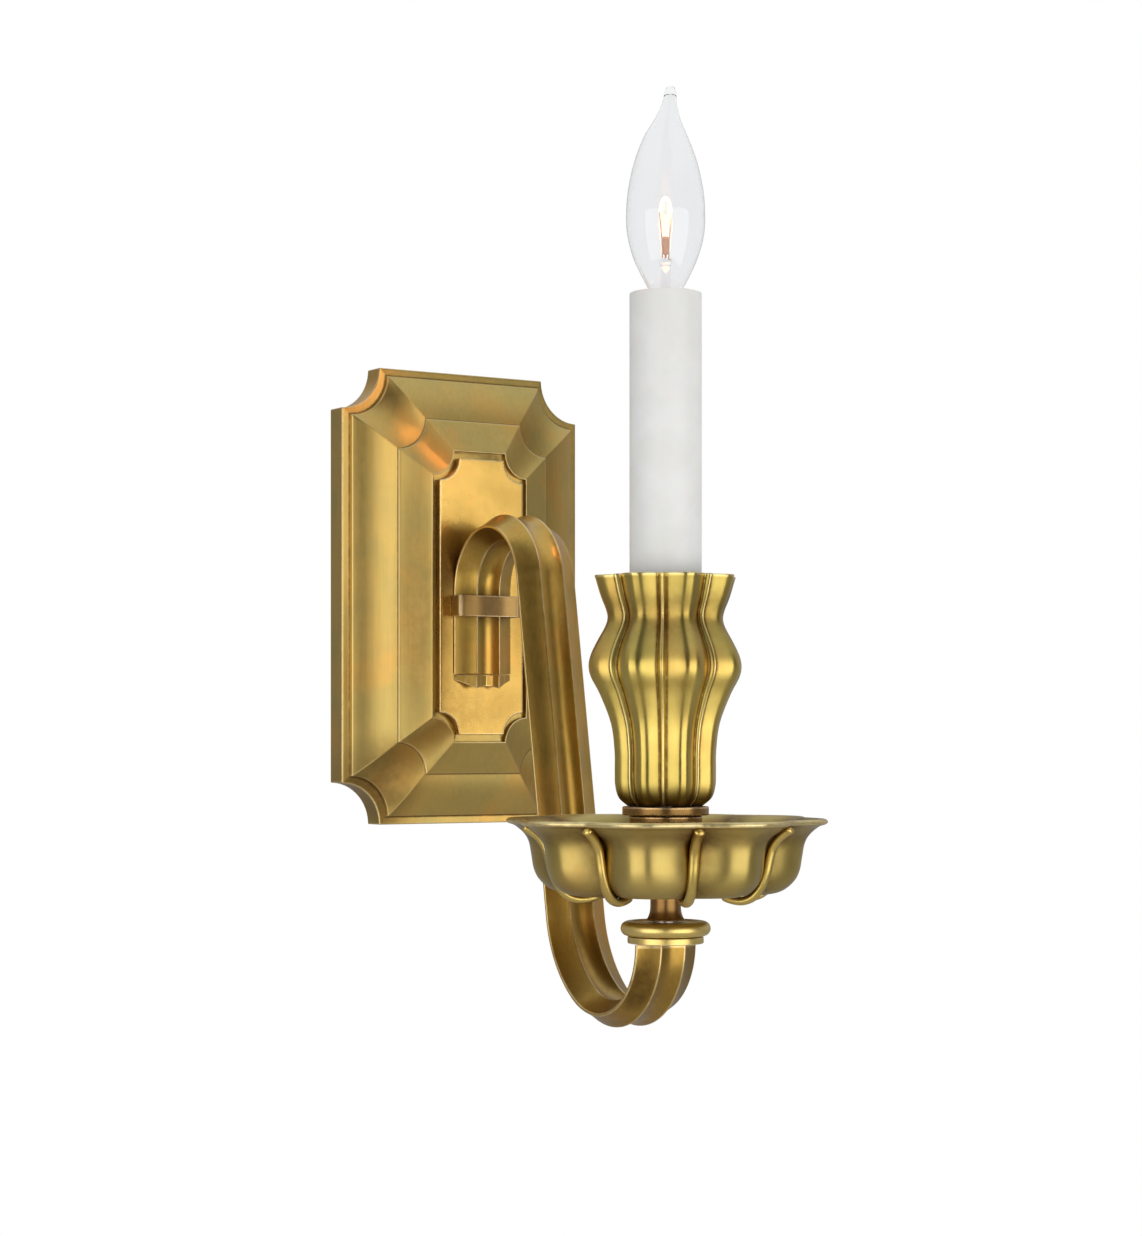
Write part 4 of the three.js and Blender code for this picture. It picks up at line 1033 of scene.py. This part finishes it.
def build_filament(material):
    """A fine coil, arched between the lead wires' tips."""
    low, high = box_mm("filament")
    foot, top = low[2] + FILAMENT_FOOT, high[2] - FILAMENT["below_top"]
    forward = np.eye(3)[1]
    count = FILAMENT["turns"] * FILAMENT["steps"]
    path = []
    for k in range(count + 1):
        swing = k / count * math.pi
        spin = 2 * math.pi * FILAMENT["turns"] * (k / count)
        out = np.array((math.cos(swing), 0, math.sin(swing)))
        middle = out * (FILAMENT["half_width"], 0, top - foot) + (0, 0, foot)
        coil = FILAMENT["coil"] * (math.cos(spin) * out + math.sin(spin) * forward)
        path.append(middle + coil + (*AXIS, 0))
    obj = tube("filament_finish", path, FILAMENT["wire"], 6)
    return settle(obj, material, "bulb", ["filament"])


# ---------------------------------------- stage, lights and camera


FLOOR = {"drop": 1.3, "half_width": 40.0}  # metres
WHITE = (1, 1, 1)


def build_stage():
    """A floor that is white to the eye, and pale warm paint in reflections."""
    height = (cad_bounds[0].z - FLOOR["drop"]) / MM
    edge = FLOOR["half_width"] / MM
    corners = [(-edge, -edge, height), (edge, -edge, height), (edge, edge, height), (-edge, edge, height)]
    floor = make_object("floor", corners, [(0, 1, 2, 3)])
    s = Shader("pale_floor")
    paint = s.mix(s.noise(3, 2, 0.5), (0.50, 0.465, 0.42), (0.56, 0.52, 0.47))
    glow = s.node("ShaderNodeEmission", Color=WHITE, Strength=1.0)
    s.blend_shaders(s.seen_directly(), s.surface, glow, s.tree.nodes["Material Output"])
    floor.data.materials.append(s.finish(Base_Color=paint, Roughness=0.9))


def add_light(data, power):
    data.energy = power
    light = bpy.data.objects.new(data.name, data)
    bpy.context.scene.collection.objects.link(light)
    light.visible_camera = False
    light.visible_transmission = False
    return light


LIGHTS_AWAY = 1.8  # metres from the object's middle


def soft_light(name, azimuth, elevation, size, power, mirrored=True):
    """Area light aimed at the object. Azimuth 0 is in front of the wall, and 90 is to the right.
    A light that is not mirrored leaves the metal alone and only evens out the sleeve."""
    a, e = math.radians(azimuth), math.radians(elevation)
    direction = Vector((math.sin(a) * math.cos(e), -math.cos(a) * math.cos(e), math.sin(e)))
    data = bpy.data.lights.new(name, "AREA")
    data.shape = "RECTANGLE"
    data.size, data.size_y = size
    light = add_light(data, power)
    light.location = sum(cad_bounds, Vector()) / 2 + direction * LIGHTS_AWAY
    light.rotation_euler = (-direction).to_track_quat("-Z", "Y").to_euler()
    light.visible_glossy = mirrored


def build_lights():
    soft_light("box_right", 8, -8, (1.95, 1.6), 21)
    soft_light("box_left", -69.5, -8, (1.72, 1.6), 16)
    soft_light("fill_right", 80, 0, (1.2, 1.6), 5, mirrored=False)


def filament_glow():
    """Warm glints of the lit bulb in the brass near it."""
    data = bpy.data.lights.new("filament_glow", "POINT")
    data.color = (1.0, 0.42, 0.15)
    data.shadow_soft_size = 3 * MM
    light = add_light(data, power=0.07)
    light.location = [v * MM for v in centre_mm("filament")]
    light.visible_diffuse = False


ROOM = {"front": 0.14, "side": 0.50, "behind": 0.34, "above": 1.05, "flag": 0.2}
FLAG = (-0.53, -0.848, 0)  # direction of the upright dark gap between the two soft boxes
ABOVE = (0.80, 0.90, 1.06)  # a cool tint


def build_world():
    """White to the eye. In reflections it is a studio: dim in front, lighter at the sides and behind,
    bright and cool above, with a dark upright gap between the soft boxes."""
    world = bpy.data.worlds.new("studio")
    bpy.context.scene.world = world
    world.use_nodes = True
    world.node_tree.nodes.clear()
    g = Graph(world.node_tree)
    direction = g.node("ShaderNodeTexCoord").outputs["Generated"]
    split = g.node("ShaderNodeSeparateXYZ", Vector=direction)
    reach, up = split.outputs["Y"], split.outputs["Z"]
    light = g.ramp(reach, -0.65, -0.15, ROOM["front"], ROOM["side"])
    light = g.ramp(reach, 0.2, 0.9, light, ROOM["behind"])
    light = g.ramp(up, 0.35, 0.75, light, ROOM["above"])
    level = g.vector("NORMALIZE", g.vector("MULTIPLY", direction, (1, 1, 0)))
    towards_flag = g.vector("DOT_PRODUCT", level, FLAG)
    light = g.math("MULTIPLY", light, g.ramp(towards_flag, 0.86, 0.975, 1.0, ROOM["flag"]))
    tint = g.mix(g.ramp(up, 0.35, 0.85), WHITE, ABOVE)
    room = g.node("ShaderNodeBackground", Color=tint, Strength=light)
    seen = g.node("ShaderNodeBackground", Color=WHITE, Strength=1.0)
    g.blend_shaders(g.seen_directly(), room, seen, g.node("ShaderNodeOutputWorld"))


CAMERA = {"lens": 77.98, "shift_y": 0.0963, "place": (-0.6083, -1.0608, -0.0626), "turn": -32.418}


def build_camera():
    """Level camera left of the object, at the photograph's angle."""
    data = bpy.data.cameras.new("camera")
    data.lens = CAMERA["lens"]
    data.shift_y = CAMERA["shift_y"]
    camera = bpy.data.objects.new("camera", data)
    bpy.context.scene.collection.objects.link(camera)
    camera.location = CAMERA["place"]
    camera.rotation_euler = (math.radians(90), 0, math.radians(CAMERA["turn"]))
    bpy.context.scene.camera = camera


# ---------------------------------------- assembly


def paint_cad(materials):
    """Materials for the CAD pieces that stay as they are."""
    painted = {
        "steel": ["wall_bracket", "set_screw_top", "set_screw_bottom", "arm_washer_upper",
                  "arm_washer_lower", "arm_screw_upper", "arm_screw_lower", "centre_tube", "cup_washer",
                  "socket_strap", "terminal_screw_right", "bulb_contact"],
        "green": ["ground_screw"],
        "black": ["wire_bushing", "socket_body", "bulb_insulator"],
        "lead": ["supply_lead"],
        "bright": ["cup_nut", "socket_shell", "socket_contact", "terminal_screw_left", "bulb_screw_shell"],
    }
    for key, nodes in painted.items():
        for node in nodes:
            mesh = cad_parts[node].data
            mesh.materials.clear()
            mesh.materials.append(materials[key])


def build_eased(node, name, ease, material):
    """A CAD piece that only needs its edges eased."""
    return settle(refined(node, name, ease), material, "sconce", [node])


bpy.context.scene.view_settings.view_transform = "Standard"
build_camera()
build_world()
build_lights()
build_stage()
materials = make_materials()
build_backplate(materials["antique"])
build_panel(materials["panel"])
build_arm(materials["arm"])
build_eased("arm_band", "clasp_finish", 0.6, materials["clasp"])
build_eased("arm_end_cap", "arm_foot_finish", 0.3, materials["arm"])
build_ring("arm_end_collar", "collar_finish", 0.5, materials["ring"])
build_disc(materials["ring"])
build_neck(materials["copper"])
build_dish(materials["bright"])
for rib in range(LOBES):
    build_rib(rib, materials["cord"])
build_spacer(materials["copper"])
for ring in ("seat_ring_lower", "seat_ring_upper"):
    build_ring(ring, f"{ring}_finish", 0.6, materials["copper"])
build_cup(materials["cup"])
build_sleeve(materials["white"])
build_bulb(materials["glass"]).visible_shadow = False
filament_glow()
build_stem(materials["stem"])
for lead_side in (-1, 1):
    build_lead(lead_side, materials["wire"])
build_stem_plate(materials["wire"])
build_filament(materials["glow"])
paint_cad(materials)
